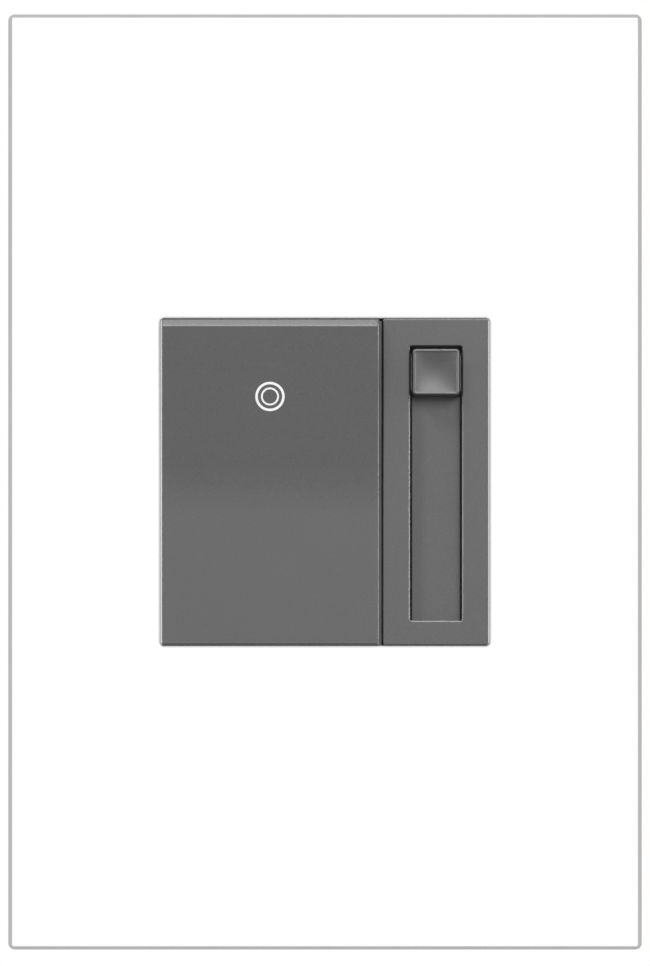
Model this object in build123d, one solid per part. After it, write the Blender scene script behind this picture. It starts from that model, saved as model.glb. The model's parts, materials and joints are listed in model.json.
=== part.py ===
"""Wall dimmer: a rocker paddle beside a small slider, on a one-gang strap.

Millimetres. X right, Z up, and the front faces -Y. y = 0 is the wall plane,
the back of the mounting strap. The origin is midway between the box screws.
Cutting bodies run up to 1 mm past the faces that they open.
"""
from build123d import *
import math
import os

# Wall plate
PLATE_W = 88.2
PLATE_H = 130.2
PLATE_FRONT = -8.0
PLATE_DRAFT = 0.65
PLATE_WALL = 2.4
PLATE_FACE = 2.0
PLATE_CORNER = 0.9
PLATE_EDGE = 0.2
OPENING_HALF = (22.83, 22.69)
OPENING_CORNER = 0.5
OPENING_EDGE = 0.4
LIP_WALL = 1.5
LIP_BACK = -5.0
CATCH_Z = (-40.0, 0.0, 40.0)
CATCH_HALF = 5.0
CATCH_DEPTH = 1.3
CATCH_Y = (-2.2, -1.2)

# Snap frame behind the wall plate
FRAME_HALF_W = 38.0
FRAME_HALF_H = 58.0
FRAME_Y = (-3.6, -1.6)
FRAME_CORNER = 3.0
FRAME_WINDOW = (46.4, 67.2)
FRAME_WINDOW_CORNER = 1.5
FRAME_NOTCH = (10.0, 9.0)
FRAME_NOTCH_CORNER = 1.0
FRAME_TAB = (3.2, 8.0)
FRAME_TAB_BACK = -2.4
FRAME_FOOT_R = 2.5
FRAME_FOOT_XZ = (34.0, 54.0)
FRAME_SCREW_XZ = (14.0, 42.0)
FRAME_SCREW_R = 1.25
FRAME_SCREW_HEAD = (2.8, 1.6)
SCREW_CLEAR = 0.2

# Mounting strap, the heat sink
STRAP_HALF_W = 22.0
STRAP_HALF_H = 53.0
STRAP_THICK = 1.6
STRAP_CORNER = 2.5
BOX_SCREW_Z = 41.65
BOX_SLOT = (7.0, 4.4)
BOX_SCREW_R = 1.75
BOX_NECK_R = 1.45
BOX_SCREW_TIP = 19.0
BOX_HEAD = (3.4, 2.0)
RETAINER_SIDE = 8.0
RETAINER_THICK = 0.8
RETAINER_CORNER = 0.6
STRAP_HOLE_CLEAR = 0.8
STRAP_POT_WINDOW = (11.0, 47.2)
STRAP_POT_CORNER = 1.0
STRAP_HOOK_WINDOW = (5.2, 4.0)
STRAP_HOOK_CORNER = 0.5
STRAP_HOOK_Z = 21.2
GROUND_XZ = (-12.0, -37.0)
GROUND_R = 1.6
GROUND_HEAD = (3.2, 1.8)
GROUND_WIRE_GAP = 1.0

# Moulded deck
DECK_Y = (-3.1, -1.6)
DECK_HALF_W = 22.5
DECK_HALF_H = 33.0
DECK_CORNER = 1.0
CASE_SCREW_XZ = (17.3, 28.3)
CASE_SCREW_R = 1.05
CASE_HEAD = (2.2, 1.4)
LEG_R = 2.4
LEG_BOSS_FRONT = -4.6
LEG_SKIN = 0.3
CASE_TIP_GAP = 0.5
THREAD_CLEAR = 0.05
DECK_PLUNGER_CLEAR = 0.4
DECK_BLADE_SLOT = (2.4, 5.0)
DECK_HOOK_WINDOW = (4.0, 2.3)
DECK_HOOK_Z = 20.75
DECK_PANEL_SLOT = (0.4, 1.5)

# Rocker paddle
PADDLE_X = (-22.68, 7.49)
PADDLE_HALF_H = 22.62
PADDLE_BACK = -5.6
PADDLE_LOW_Y = -8.6
PADDLE_BEND_Z = -1.0
PADDLE_TOP_Y = -10.2
PADDLE_TOP_Z = 21.7
PADDLE_BEVEL_Y = -8.9
PADDLE_BEVEL_Z = 22.54
PADDLE_STEP = (0.35, 0.9)
PADDLE_STEP_TOP = 22.3
PADDLE_BEND_R = 85.0
PADDLE_FACE = 1.5
PADDLE_SIDE = 1.2
PADDLE_FOOT = 1.0
PADDLE_EDGE = 0.25
PADDLE_EDGE_PICK = 0.35
RIB_X = (-13.0, -2.0)
RIB_THICK = 1.0
RIB_Z = (-15.0, 19.0)
HOOK_X = (-17.0, 2.0)
HOOK_HALF = 1.5
HOOK_WALL = 1.2
HOOK_CATCH = 1.1
HOOK_Y = (-1.5, -0.5)
HOOK_ROOT = 1.5

# Hinge at the paddle's lower edge
HINGE_Y = -5.6
HINGE_Z = -19.9
PIN_R = 0.75
PIN_CLEAR = 0.05
LUG_X = ((-20.8, -18.8), (-8.6, -6.6), (3.6, 5.6))
LUG_HALF = 1.3
LUG_FRONT = -6.8
KNUCKLE_X = ((-16.0, -13.0), (-2.2, 0.8))
KNUCKLE_TOP_Z = -18.2
KNUCKLE_BACK = -4.2
KNUCKLE_BITE = 0.3

# Double-ring lens in the paddle
ICON_X = -7.63
ICON_Z = 11.86
RING_RADII = ((2.04, 1.69), (1.25, 1.00))
LENS_R = 2.8
LENS_SKIN = 0.5

# Fixed panel and its slot
PANEL_X = (8.04, 22.70)
PANEL_FRONT = -8.4
PANEL_FACE = 1.5
PANEL_WALL = 1.2
PANEL_EDGE = 0.15
PANEL_CORNER = 0.3
PANEL_HOOK_HALF = 2.0
PANEL_HOOK_BACK = -0.9
PANEL_HOOK_LIP = 0.5
SLOT_X = 15.4
SLOT_HALF = 3.62
SLOT_Z = (-19.25, 18.85)
SLOT_CORNER = 0.3
SLOT_EDGE = 0.16
WELL_WALL = 1.0
WELL_BACK = -4.6
TRACK_HALF = 3.30
TRACK_Y = (-6.5, -5.3)
TRACK_OVERLAP = 1.6

# Slider
KNOB_Z = 15.17
KNOB_BASE = 6.85
KNOB_BASE_Y = -6.6
KNOB_FACE = (6.25, 6.20)
KNOB_FACE_Y = -10.0
KNOB_FACE_RISE = 0.08
KNOB_CORNER = 0.45
KNOB_EDGE = 0.2
DISH_R = 11.0
DISH_DEPTH = 0.35
SLIDE_TRAVEL = 30.7
SADDLE_LEG_X = (3.34, 3.46)
SADDLE_HALF_Z = 2.5
SADDLE_Y = (-6.9, -4.9, -4.3)
BLADE_HALF = (0.6, 2.0)
BLADE_TIP = 4.5

# Slide potentiometer
POT_HALF_W = 4.5
POT_Z = (-22.2, 21.8)
POT_Y = (2.0, 7.8)
POT_WALL = 0.5
POT_SLOT_HALF = 1.1
POT_SLOT_SPARE = 0.3
SHUTTLE_HALF = (3.6, 3.5)
SHUTTLE_Y = (2.9, 6.6)
WIPER_HALF = (2.6, 3.0)
WIPER_Y = (6.6, 6.9)
WIPER_TIP = 7.66
WIPER_FINGER_X = (-1.9, -1.2, 0.9, 1.6)
WIPER_FINGER_W = 0.35
WIPER_FINGER_Z = 1.8
TRACK_X = ((0.8, 2.2), (-2.2, -0.8))
CARBON_THICK = 0.1
CARBON_END = 2.2
POT_PIN_R = 0.4
PIN_TAIL = 1.0
POT_PIN_XZ = ((13.4, -21.2), (17.4, -21.2), (13.4, 20.8), (17.4, 20.8))

# Push switch
SWITCH_X = -7.6
SWITCH_Z = 4.0
SWITCH_HALF = 4.0
SWITCH_Y = (2.5, 9.0)
SWITCH_WALL = 0.8
PLUNGER_R = 1.5
PLUNGER_CLEAR = 0.08
PLUNGER_TIP = -5.15
PLUNGER_DOME = 0.35
FLANGE_R = 2.6
FLANGE_Y = (3.35, 4.4)
BOSS_R = 1.7
BOSS_BACK = -5.2
BRIDGE_HALF = (3.0, 1.0)
BRIDGE_THICK = 0.3
CONTACT_X = 2.4
CONTACT_HALF = (0.4, 0.7)
CONTACT_FRONT = 5.76
CONTACT_TAIL = 11.4
SWITCH_SPRING_R = 1.15
SWITCH_SPRING_WIRE = 0.2
SWITCH_SPRING_TURNS = 3.5

# Paddle springs and locator light
SPRING_XZ = ((-17.5, 14.0), (2.5, 14.0))
SPRING_R = 1.7
SPRING_WIRE = 0.22
SPRING_TURNS = 4.5
SPRING_SEAT = 0.35
CUP_R = (2.1, 2.8)
CUP_FRONT = -4.1
PIPE_R = 1.4
PIPE_Y = (-6.2, 7.2)
PIPE_COLLAR = (2.0, 0.8)
LED_SIDE = 3.0
LED_FRONT = 7.5

# Board and its parts
BOARD_HALF = (20.2, 31.2)
BOARD_Y = (9.0, 10.6)
BOARD_HOLE_R = 1.4
HOLE_CLEAR = 0.05
TRIAC_X = -7.0
TRIAC_TAB_Z = (-27.0, -11.6)
TRIAC_BODY_Z = -20.8
TRIAC_HALF_W = 5.0
TRIAC_Y = (0.2, 1.5, 4.7)
TRIAC_HOLE_Z = -24.2
TRIAC_LEAD_X = (-2.54, 0.0, 2.54)
TRIAC_LEAD_Z = (-11.6, -9.3, -8.8)
TRIAC_LEAD_Y = (2.4, 2.9)
TRIAC_LEAD_HALF = 0.4
TRIAC_HOLE_CLEAR = 0.3
TRIAC_SCREW_R = 1.45
TRIAC_HEAD = (2.75, 1.8)
PAD_MARGIN = 1.0
CHOKE_XZ = (-6.5, 17.0)
CHOKE_R = (5.0, 9.0)
CHOKE_Y = (12.2, 18.2)
CHOKE_WIRE = 0.9
CHOKE_TURNS = 20
CHOKE_WIRE_GAP = 0.05
FILM_CAP = ((-16.5, 1.5), (10.6, 25.0), (-21.0, -12.0))
FILM_CAP_LEAD_X = (-15.0, 0.0)
CAP_EDGE = 0.6
BULK_CAP_XZ = (8.4, 22.0)
BULK_CAP_R = 4.5
BULK_CAP_Y = (10.6, 25.0)
BULK_CAP_GROOVE = (1.5, 2.3, 0.35)
BULK_CAP_LEAD = 2.0
FUSE_X = 14.5
FUSE_Y = 13.6
FUSE_Z = (-6.0, 9.0)
FUSE_R = 2.2
FUSE_CAP = 3.0
FUSE_STEP = 0.25
AXIAL_LEAD = 1.0
VARISTOR_X = (9.0, 13.0)
VARISTOR_YZ = (17.0, -16.0)
VARISTOR_R = 5.0
VARISTOR_EDGE = 1.2
VARISTOR_LEAD = 1.2
CHIP = ((2.0, 7.0), (10.9, 12.5), (-5.0, -1.0))
CHIP_PITCH = 1.27
CHIP_LEGS = 4
CHIP_LEG = 1.1
CHIP_LEG_HALF = 0.2
CHIP_LEG_FOOT = 0.25
CHIP_LEG_RISE = 0.9
CHIP_LEG_THICK = 0.3
RESISTOR_X = (5.5, 8.0, 10.5)
RESISTOR_Y = 11.9
RESISTOR_Z = (4.0, 10.5)
RESISTOR_R = 1.1
RESISTOR_EDGE = 0.4
LEAD_R = 0.35

# Back cover and wiring terminals
COVER_HALF = (22.0, 33.0)
COVER_BACK = 30.0
COVER_WALL = 1.6
COVER_CORNER = 2.0
COVER_EDGE = 0.8
POST_R = 2.6
POST_BORE_R = 1.2
POST_RIB_HALF = 1.0
TERMINALS = ((-1, -13.0), (-1, 13.0), (1, 0.0))
RECESS_HALF = 5.0
RECESS_FRONT = 13.0
RECESS_FLOOR = 18.5
TOWER_WALL = 1.2
TERMINAL_PLATE = (1.0, 4.0, 15.0, 22.0)
TONGUE_HALF = 1.5
TERMINAL_SCREW_Y = 18.5
TERMINAL_SCREW_R = 1.7
TERMINAL_SCREW_X = (17.0, 20.2, 21.8)
TERMINAL_HEAD_R = 3.3


def block(xs, ys, zs):
    """Box between two corners, in any order."""
    sizes = [abs(b - a) for a, b in (xs, ys, zs)]
    mids = [(a + b) / 2 for a, b in (xs, ys, zs)]
    return Pos(*mids) * Box(*sizes)


def slab(sketch, y_front, y_back):
    """A sketch drawn in X and Z, extruded between two depths."""
    plane = Plane(origin=(0, y_back, 0), x_dir=(1, 0, 0), z_dir=(0, -1, 0))
    return extrude(plane * sketch, amount=y_back - y_front)


def rod(x, z, r, y_front, y_back):
    """Cylinder along Y."""
    return slab(Pos(x, z) * Circle(r), y_front, y_back)


def rod_x(y, z, r, x_low, x_high):
    """Cylinder along X."""
    plane = Plane(origin=(x_low, y, z), z_dir=(1, 0, 0))
    return extrude(plane * Circle(r), amount=x_high - x_low)


def rod_z(x, y, r, z_low, z_high):
    """Cylinder along Z."""
    plane = Plane(origin=(x, y, z_low), z_dir=(0, 0, 1))
    return extrude(plane * Circle(r), amount=z_high - z_low)


def mirrored(x, z):
    """The four places at plus and minus x and z."""
    return [(sx * x, sz * z) for sx in (-1, 1) for sz in (-1, 1)]


def front_face(shape):
    return shape.faces().sort_by(Axis.Y)[0]


def cross_recess(x, z, y_front, half, depth):
    """Cross-head driver recess, open towards -Y."""
    bar = half * 0.3
    ys = (y_front - 0.1, y_front + depth)
    flat = block((x - half, x + half), ys, (z - bar, z + bar))
    return flat + block((x - bar, x + bar), ys, (z - half, z + half))


def screw_head(x, z, head, seat):
    """Domed pan head with its cross recess, standing on the seat."""
    head_r, head_h = head
    top = rod(x, z, head_r, seat - head_h, seat)
    top = fillet(front_face(top).edges(), head_h * 0.45)
    return top - cross_recess(x, z, seat - head_h, head_r * 0.5, head_h * 0.6)


def screw_shank(x, z, r, y_front, tip):
    """Plain shank with a chamfered tip."""
    shank = rod(x, z, r, y_front, tip)
    return chamfer(shank.faces().sort_by(Axis.Y)[-1].edges(), r * 0.3)


def pan_screw(x, z, shank_r, head, seat, tip):
    """Screw from the front: its head stands on the seat, its tip is behind."""
    return screw_head(x, z, head, seat) + screw_shank(x, z, shank_r, seat, tip)


def pan_screw_back(x, z, shank_r, head, seat, tip):
    """The same screw driven from the back."""
    turned = pan_screw(-x, z, shank_r, head, -seat, -tip)
    return Rot(0, 0, 180) * turned


def coil(x, z, r, wire, y_front, y_back, turns):
    """Coil spring along Y, with its wire inside the two depths."""
    length = y_back - y_front - 2 * wire
    path = Helix(pitch=length / turns, height=length, radius=r)
    section = Plane(origin=path @ 0, z_dir=path % 0) * Circle(wire)
    spring = sweep(section, path=path)
    return Pos(x, y_back - wire, z) * Rot(90, 0, 0) * spring


# Wall plate and snap frame

def make_wall_plate():
    half_w = PLATE_W / 2
    half_h = PLATE_H / 2
    wall_plane = Plane(origin=(0, 0, 0), x_dir=(1, 0, 0), z_dir=(0, -1, 0))
    outline = wall_plane * RectangleRounded(PLATE_W, PLATE_H, PLATE_CORNER)
    draft = math.degrees(math.atan2(PLATE_DRAFT, -PLATE_FRONT))
    shell = extrude(outline, amount=-PLATE_FRONT, taper=draft)
    shell = fillet(front_face(shell).edges(), PLATE_EDGE)
    inner_w = half_w - PLATE_WALL
    inner_h = half_h - PLATE_WALL
    inner_y = PLATE_FRONT + PLATE_FACE
    shell -= block((-inner_w, inner_w), (inner_y, 1), (-inner_h, inner_h))
    open_w, open_h = (2 * half for half in OPENING_HALF)
    lip = RectangleRounded(open_w + 2 * LIP_WALL, open_h + 2 * LIP_WALL, OPENING_CORNER + LIP_WALL)
    shell += slab(lip, inner_y, LIP_BACK)
    shell -= slab(RectangleRounded(open_w, open_h, OPENING_CORNER), PLATE_FRONT - 1, 1)
    rim = front_face(shell).inner_wires()[0].edges()
    shell = fillet(rim, OPENING_EDGE)
    for sx in (-1, 1):
        for z in CATCH_Z:
            xs = (sx * inner_w, sx * (inner_w - CATCH_DEPTH))
            shell += block(xs, CATCH_Y, (z - CATCH_HALF, z + CATCH_HALF))
    return shell


def make_plate_frame():
    y_front, y_back = FRAME_Y
    frame = slab(RectangleRounded(2 * FRAME_HALF_W, 2 * FRAME_HALF_H, FRAME_CORNER), y_front, y_back)
    window_w, window_h = FRAME_WINDOW
    window = RectangleRounded(window_w, window_h, FRAME_WINDOW_CORNER)
    frame -= slab(window, y_front - 1, y_back + 1)
    notch_w, notch_h = FRAME_NOTCH
    for sz in (-1, 1):
        notch = Pos(0, sz * BOX_SCREW_Z) * RectangleRounded(notch_w, notch_h, FRAME_NOTCH_CORNER)
        frame -= slab(notch, y_front - 1, y_back + 1)
    for x, z in mirrored(*FRAME_SCREW_XZ):
        frame -= rod(x, z, FRAME_SCREW_R + SCREW_CLEAR, y_front - 1, y_back + 1)
    for x, z in mirrored(*FRAME_FOOT_XZ):
        frame += rod(x, z, FRAME_FOOT_R, y_back, 0)
    reach, tab_h = FRAME_TAB
    for sx in (-1, 1):
        for z in CATCH_Z:
            xs = (sx * FRAME_HALF_W, sx * (FRAME_HALF_W + reach))
            frame += block(xs, (y_front, FRAME_TAB_BACK), (z - tab_h / 2, z + tab_h / 2))
    return frame


def make_frame_screws():
    seat = FRAME_Y[0]
    places = mirrored(*FRAME_SCREW_XZ)
    return [pan_screw(x, z, FRAME_SCREW_R, FRAME_SCREW_HEAD, seat, 0) for x, z in places]


# Strap and its screws

def make_mounting_strap():
    strap = slab(RectangleRounded(2 * STRAP_HALF_W, 2 * STRAP_HALF_H, STRAP_CORNER), -STRAP_THICK, 0)
    cuts = [Pos(x, z) * Circle(LEG_R + SCREW_CLEAR) for x, z in mirrored(*CASE_SCREW_XZ)]
    cuts += [Pos(x, z) * Circle(FRAME_SCREW_R + THREAD_CLEAR) for x, z in mirrored(*FRAME_SCREW_XZ)]
    slot_w, slot_h = BOX_SLOT
    cuts += [Pos(0, sz * BOX_SCREW_Z) * SlotOverall(slot_w, slot_h) for sz in (-1, 1)]
    cuts.append(Pos(*GROUND_XZ) * Circle(GROUND_R + THREAD_CLEAR))
    cuts.append(Pos(TRIAC_X, TRIAC_HOLE_Z) * Circle(TRIAC_SCREW_R + THREAD_CLEAR))
    cuts.append(Pos(SWITCH_X, SWITCH_Z) * Circle(PLUNGER_R + STRAP_HOLE_CLEAR))
    cuts.append(Pos(ICON_X, ICON_Z) * Circle(PIPE_R + STRAP_HOLE_CLEAR))
    cuts.append(Pos(SLOT_X, 0) * RectangleRounded(*STRAP_POT_WINDOW, STRAP_POT_CORNER))
    hook_window = RectangleRounded(*STRAP_HOOK_WINDOW, STRAP_HOOK_CORNER)
    cuts += [Pos(x, STRAP_HOOK_Z) * hook_window for x in HOOK_X]
    for cut in cuts:
        strap -= slab(cut, -STRAP_THICK - 1, 1)
    return strap


def make_box_screws():
    """Captive screws: an undercut neck through the strap, then the thread."""
    seat = -STRAP_THICK - RETAINER_THICK
    screws = []
    for z in (-BOX_SCREW_Z, BOX_SCREW_Z):
        screw = screw_head(0, z, BOX_HEAD, seat)
        screw += rod(0, z, BOX_NECK_R, seat, 0)
        screws.append(screw + screw_shank(0, z, BOX_SCREW_R, 0, BOX_SCREW_TIP))
    return screws


def make_screw_retainers():
    square = RectangleRounded(RETAINER_SIDE, RETAINER_SIDE, RETAINER_CORNER)
    ring = square - Circle(BOX_NECK_R + THREAD_CLEAR)
    y_back = -STRAP_THICK
    places = (-BOX_SCREW_Z, BOX_SCREW_Z)
    return [slab(Pos(0, z) * ring, y_back - RETAINER_THICK, y_back) for z in places]


def make_ground_screw():
    x, z = GROUND_XZ
    return pan_screw_back(x, z, GROUND_R, GROUND_HEAD, GROUND_WIRE_GAP, -STRAP_THICK)


# Moulded deck

def make_chassis():
    y_front, y_back = DECK_Y
    deck = slab(RectangleRounded(2 * DECK_HALF_W, 2 * DECK_HALF_H, DECK_CORNER), y_front, y_back)
    for x, z in mirrored(*CASE_SCREW_XZ):
        deck += rod(x, z, LEG_R, LEG_BOSS_FRONT, BOARD_Y[0])
    for x, z in SPRING_XZ:
        deck += rod(x, z, CUP_R[1], CUP_FRONT, y_front)
    for xs in LUG_X:
        deck += block(xs, (LUG_FRONT, y_front), (HINGE_Z - LUG_HALF, HINGE_Z + LUG_HALF))
    for x, z in mirrored(*CASE_SCREW_XZ):
        deck -= rod(x, z, CASE_SCREW_R + THREAD_CLEAR, LEG_BOSS_FRONT + LEG_SKIN, BOARD_Y[0] + 1)
    for x, z in SPRING_XZ:
        deck -= rod(x, z, CUP_R[0], CUP_FRONT - 1, y_front)
    deck -= rod_x(HINGE_Y, HINGE_Z, PIN_R, LUG_X[0][0] - 1, LUG_X[-1][1] + 1)
    cuts = [Pos(SWITCH_X, SWITCH_Z) * Circle(PLUNGER_R + DECK_PLUNGER_CLEAR)]
    cuts.append(Pos(ICON_X, ICON_Z) * Circle(PIPE_R + HOLE_CLEAR))
    blade_w, blade_spare = DECK_BLADE_SLOT
    cuts.append(Pos(SLOT_X, KNOB_Z - SLIDE_TRAVEL / 2) * Rectangle(blade_w, SLIDE_TRAVEL + blade_spare))
    cuts += [Pos(x, DECK_HOOK_Z) * Rectangle(*DECK_HOOK_WINDOW) for x in HOOK_X]
    hook_z = PADDLE_HALF_H - PANEL_WALL / 2
    slot_spare, slot_h = DECK_PANEL_SLOT
    panel_slot = Rectangle(2 * PANEL_HOOK_HALF + slot_spare, slot_h)
    cuts += [Pos(SLOT_X, sz * hook_z) * panel_slot for sz in (-1, 1)]
    for cut in cuts:
        deck -= slab(cut, y_front - 1, y_back + 1)
    return deck


def make_hinge_pin():
    return rod_x(HINGE_Y, HINGE_Z, PIN_R, LUG_X[0][0], LUG_X[-1][1])


# Paddle

def face_tilt():
    """Angle of the paddle's upper half from the wall plane."""
    return math.atan2(PADDLE_LOW_Y - PADDLE_TOP_Y, PADDLE_TOP_Z - PADDLE_BEND_Z)


def face_y(z):
    """Depth of the paddle's front surface on its upper half."""
    return PADDLE_LOW_Y - (z - PADDLE_BEND_Z) * math.tan(face_tilt())


def paddle_profile(points, bend_at, radius):
    """Side outline in Y and Z, with a long round at the bend."""
    outline = make_face(Polyline(*points, close=True))
    bend = outline.vertices().sort_by_distance((*bend_at, 0))[0]
    return fillet(bend, radius)


def paddle_prism(profile, xs):
    plane = Plane(origin=(xs[0], 0, 0), x_dir=(0, 1, 0), z_dir=(1, 0, 0))
    return extrude(plane * profile, amount=xs[1] - xs[0])


def paddle_outer():
    points = [
        (PADDLE_BACK, -PADDLE_HALF_H),
        (PADDLE_LOW_Y, -PADDLE_HALF_H),
        (PADDLE_LOW_Y, PADDLE_BEND_Z),
        (PADDLE_TOP_Y, PADDLE_TOP_Z),
        (PADDLE_BEVEL_Y, PADDLE_BEVEL_Z),
        (PADDLE_BACK, PADDLE_HALF_H),
    ]
    profile = paddle_profile(points, points[2], PADDLE_BEND_R)
    return paddle_prism(profile, PADDLE_X)


def paddle_step():
    """Set-back ledge along the paddle's right side, which fills the groove."""
    reach, drop = PADDLE_STEP
    low = PADDLE_LOW_Y + drop
    points = [
        (PADDLE_BACK, -PADDLE_HALF_H),
        (low, -PADDLE_HALF_H),
        (low, PADDLE_BEND_Z),
        (face_y(PADDLE_STEP_TOP) + drop, PADDLE_STEP_TOP),
        (PADDLE_BACK, PADDLE_STEP_TOP),
    ]
    profile = paddle_profile(points, points[2], PADDLE_BEND_R)
    return paddle_prism(profile, (PADDLE_X[1] - PADDLE_FOOT / 2, PADDLE_X[1] + reach))


def paddle_inner():
    back = PADDLE_BACK + 1
    low = PADDLE_LOW_Y + PADDLE_FACE
    top_z = PADDLE_HALF_H - PADDLE_SIDE
    foot_z = -PADDLE_HALF_H + PADDLE_FOOT
    points = [
        (back, foot_z),
        (low, foot_z),
        (low, PADDLE_BEND_Z),
        (face_y(top_z) + PADDLE_FACE, top_z),
        (back, top_z),
    ]
    profile = paddle_profile(points, points[2], PADDLE_BEND_R - PADDLE_FACE)
    return paddle_prism(profile, (PADDLE_X[0] + PADDLE_SIDE, PADDLE_X[1] - PADDLE_FOOT))


def icon_plane():
    """Plane on the paddle's face at the rings, looking out of it."""
    a = face_tilt()
    origin = (ICON_X, face_y(ICON_Z), ICON_Z)
    return Plane(origin=origin, x_dir=(1, 0, 0), z_dir=(0, -math.cos(a), -math.sin(a)))


def icon_rings():
    outer, inner = RING_RADII
    return [Circle(outer[0]) - Circle(outer[1]), Circle(inner[0]) - Circle(inner[1])]


def icon_disc(sketch, depth_low, depth_high):
    """A sketch on the icon's plane, between two depths below the face."""
    return extrude(icon_plane().offset(-depth_high) * sketch, amount=depth_high - depth_low)


def paddle_knuckle(xs):
    """Hinge ear under the paddle's foot."""
    low = PADDLE_LOW_Y + PADDLE_FACE - KNUCKLE_BITE
    foot_z = -PADDLE_HALF_H + PADDLE_FOOT - KNUCKLE_BITE
    ear = block(xs, (low, KNUCKLE_BACK), (foot_z, KNUCKLE_TOP_Z))
    return ear - rod_x(HINGE_Y, HINGE_Z, PIN_R + PIN_CLEAR, xs[0] - 1, xs[1] + 1)


def paddle_hook(x):
    """Leg through the deck that keeps the paddle from coming out."""
    top_z = PADDLE_HALF_H - PADDLE_SIDE
    xs = (x - HOOK_HALF, x + HOOK_HALF)
    leg = block(xs, (PADDLE_BACK - HOOK_ROOT, HOOK_Y[1]), (top_z - HOOK_WALL, top_z))
    return leg + block(xs, HOOK_Y, (top_z - HOOK_WALL, top_z + HOOK_CATCH))


def make_paddle():
    outer = paddle_outer()
    sides = [f for f in outer.faces() if abs(f.normal_at().X) > 0.99]
    front = PADDLE_BEVEL_Y + PADDLE_EDGE_PICK
    edges = [e for f in sides for e in f.edges() if e.center().Y < front]
    edges += [e for e in outer.edges().filter_by(Axis.X) if e.center().Y < front]
    outer = fillet(edges, PADDLE_EDGE)
    inner = paddle_inner()
    paddle = outer + paddle_step() - inner
    ribs = [block((x - RIB_THICK / 2, x + RIB_THICK / 2), (PADDLE_TOP_Y, PADDLE_BACK), RIB_Z) for x in RIB_X]
    for rib in ribs:
        paddle += rib & inner
    paddle += rod(SWITCH_X, SWITCH_Z, BOSS_R, face_y(SWITCH_Z) + PADDLE_FACE / 2, BOSS_BACK)
    for xs in KNUCKLE_X:
        paddle += paddle_knuckle(xs)
    for x in HOOK_X:
        paddle += paddle_hook(x)
    paddle -= icon_disc(Circle(LENS_R), LENS_SKIN, PADDLE_FACE + 1)
    paddle -= icon_disc(Circle(RING_RADII[0][0]), -1, LENS_SKIN)
    return paddle


def make_icon_lens():
    lens = icon_disc(Circle(LENS_R), LENS_SKIN, PADDLE_FACE)
    for ring in icon_rings():
        lens += icon_disc(ring, 0, LENS_SKIN)
    return lens


def make_icon_islands():
    (_, land_r), (hole_r, dot_r) = RING_RADII
    land = Circle(land_r) - Circle(hole_r)
    return [icon_disc(land, 0, LENS_SKIN), icon_disc(Circle(dot_r), 0, LENS_SKIN)]


def make_paddle_springs():
    springs = []
    for x, z in SPRING_XZ:
        y_front = face_y(z) + PADDLE_FACE / math.cos(face_tilt()) + SPRING_SEAT
        springs.append(coil(x, z, SPRING_R, SPRING_WIRE, y_front, DECK_Y[0], SPRING_TURNS))
    return springs


# Fixed panel

def track_box():
    zs = (SLOT_Z[0] - TRACK_OVERLAP, SLOT_Z[1] + TRACK_OVERLAP)
    return block((SLOT_X - TRACK_HALF, SLOT_X + TRACK_HALF), TRACK_Y, zs)


def slot_sketch(grow, corner):
    height = SLOT_Z[1] - SLOT_Z[0] + 2 * grow
    middle = (SLOT_Z[0] + SLOT_Z[1]) / 2
    return Pos(SLOT_X, middle) * RectangleRounded(2 * (SLOT_HALF + grow), height, corner)


def panel_hook(sz):
    """Snap leg at the panel's top or bottom, through the deck."""
    xs = (SLOT_X - PANEL_HOOK_HALF, SLOT_X + PANEL_HOOK_HALF)
    inside = sz * (PADDLE_HALF_H - PANEL_WALL)
    outside = sz * PADDLE_HALF_H
    leg = block(xs, (DECK_Y[0], PANEL_HOOK_BACK), (inside, outside))
    lip_zs = (outside, outside + sz * PANEL_HOOK_LIP)
    return leg + block(xs, (DECK_Y[1] + HOLE_CLEAR, PANEL_HOOK_BACK), lip_zs)


def make_slider_panel():
    x_low, x_high = PANEL_X
    middle = (x_low + x_high) / 2
    outline = Pos(middle, 0) * RectangleRounded(x_high - x_low, 2 * PADDLE_HALF_H, PANEL_CORNER)
    panel = slab(outline, PANEL_FRONT, DECK_Y[0])
    panel = fillet(front_face(panel).edges(), PANEL_EDGE)
    xs = (x_low + PANEL_WALL, x_high - PANEL_WALL)
    top = PADDLE_HALF_H - PANEL_WALL
    panel -= block(xs, (PANEL_FRONT + PANEL_FACE, 0), (-top, top))
    well = slot_sketch(WELL_WALL, SLOT_CORNER + WELL_WALL)
    panel += slab(well, PANEL_FRONT + PANEL_FACE, WELL_BACK)
    panel -= slab(slot_sketch(0, SLOT_CORNER), PANEL_FRONT - 1, WELL_BACK + 1)
    panel = chamfer(front_face(panel).inner_wires()[0].edges(), SLOT_EDGE)
    panel -= track_box()
    for sz in (-1, 1):
        panel += panel_hook(sz)
    return panel


def make_slider_track():
    return track_box()


# Slider

def saddle_legs():
    zs = (KNOB_Z - SADDLE_HALF_Z, KNOB_Z + SADDLE_HALF_Z)
    low, high = SADDLE_LEG_X
    return [block((SLOT_X + s * low, SLOT_X + s * high), SADDLE_Y[:2], zs) for s in (-1, 1)]


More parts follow.
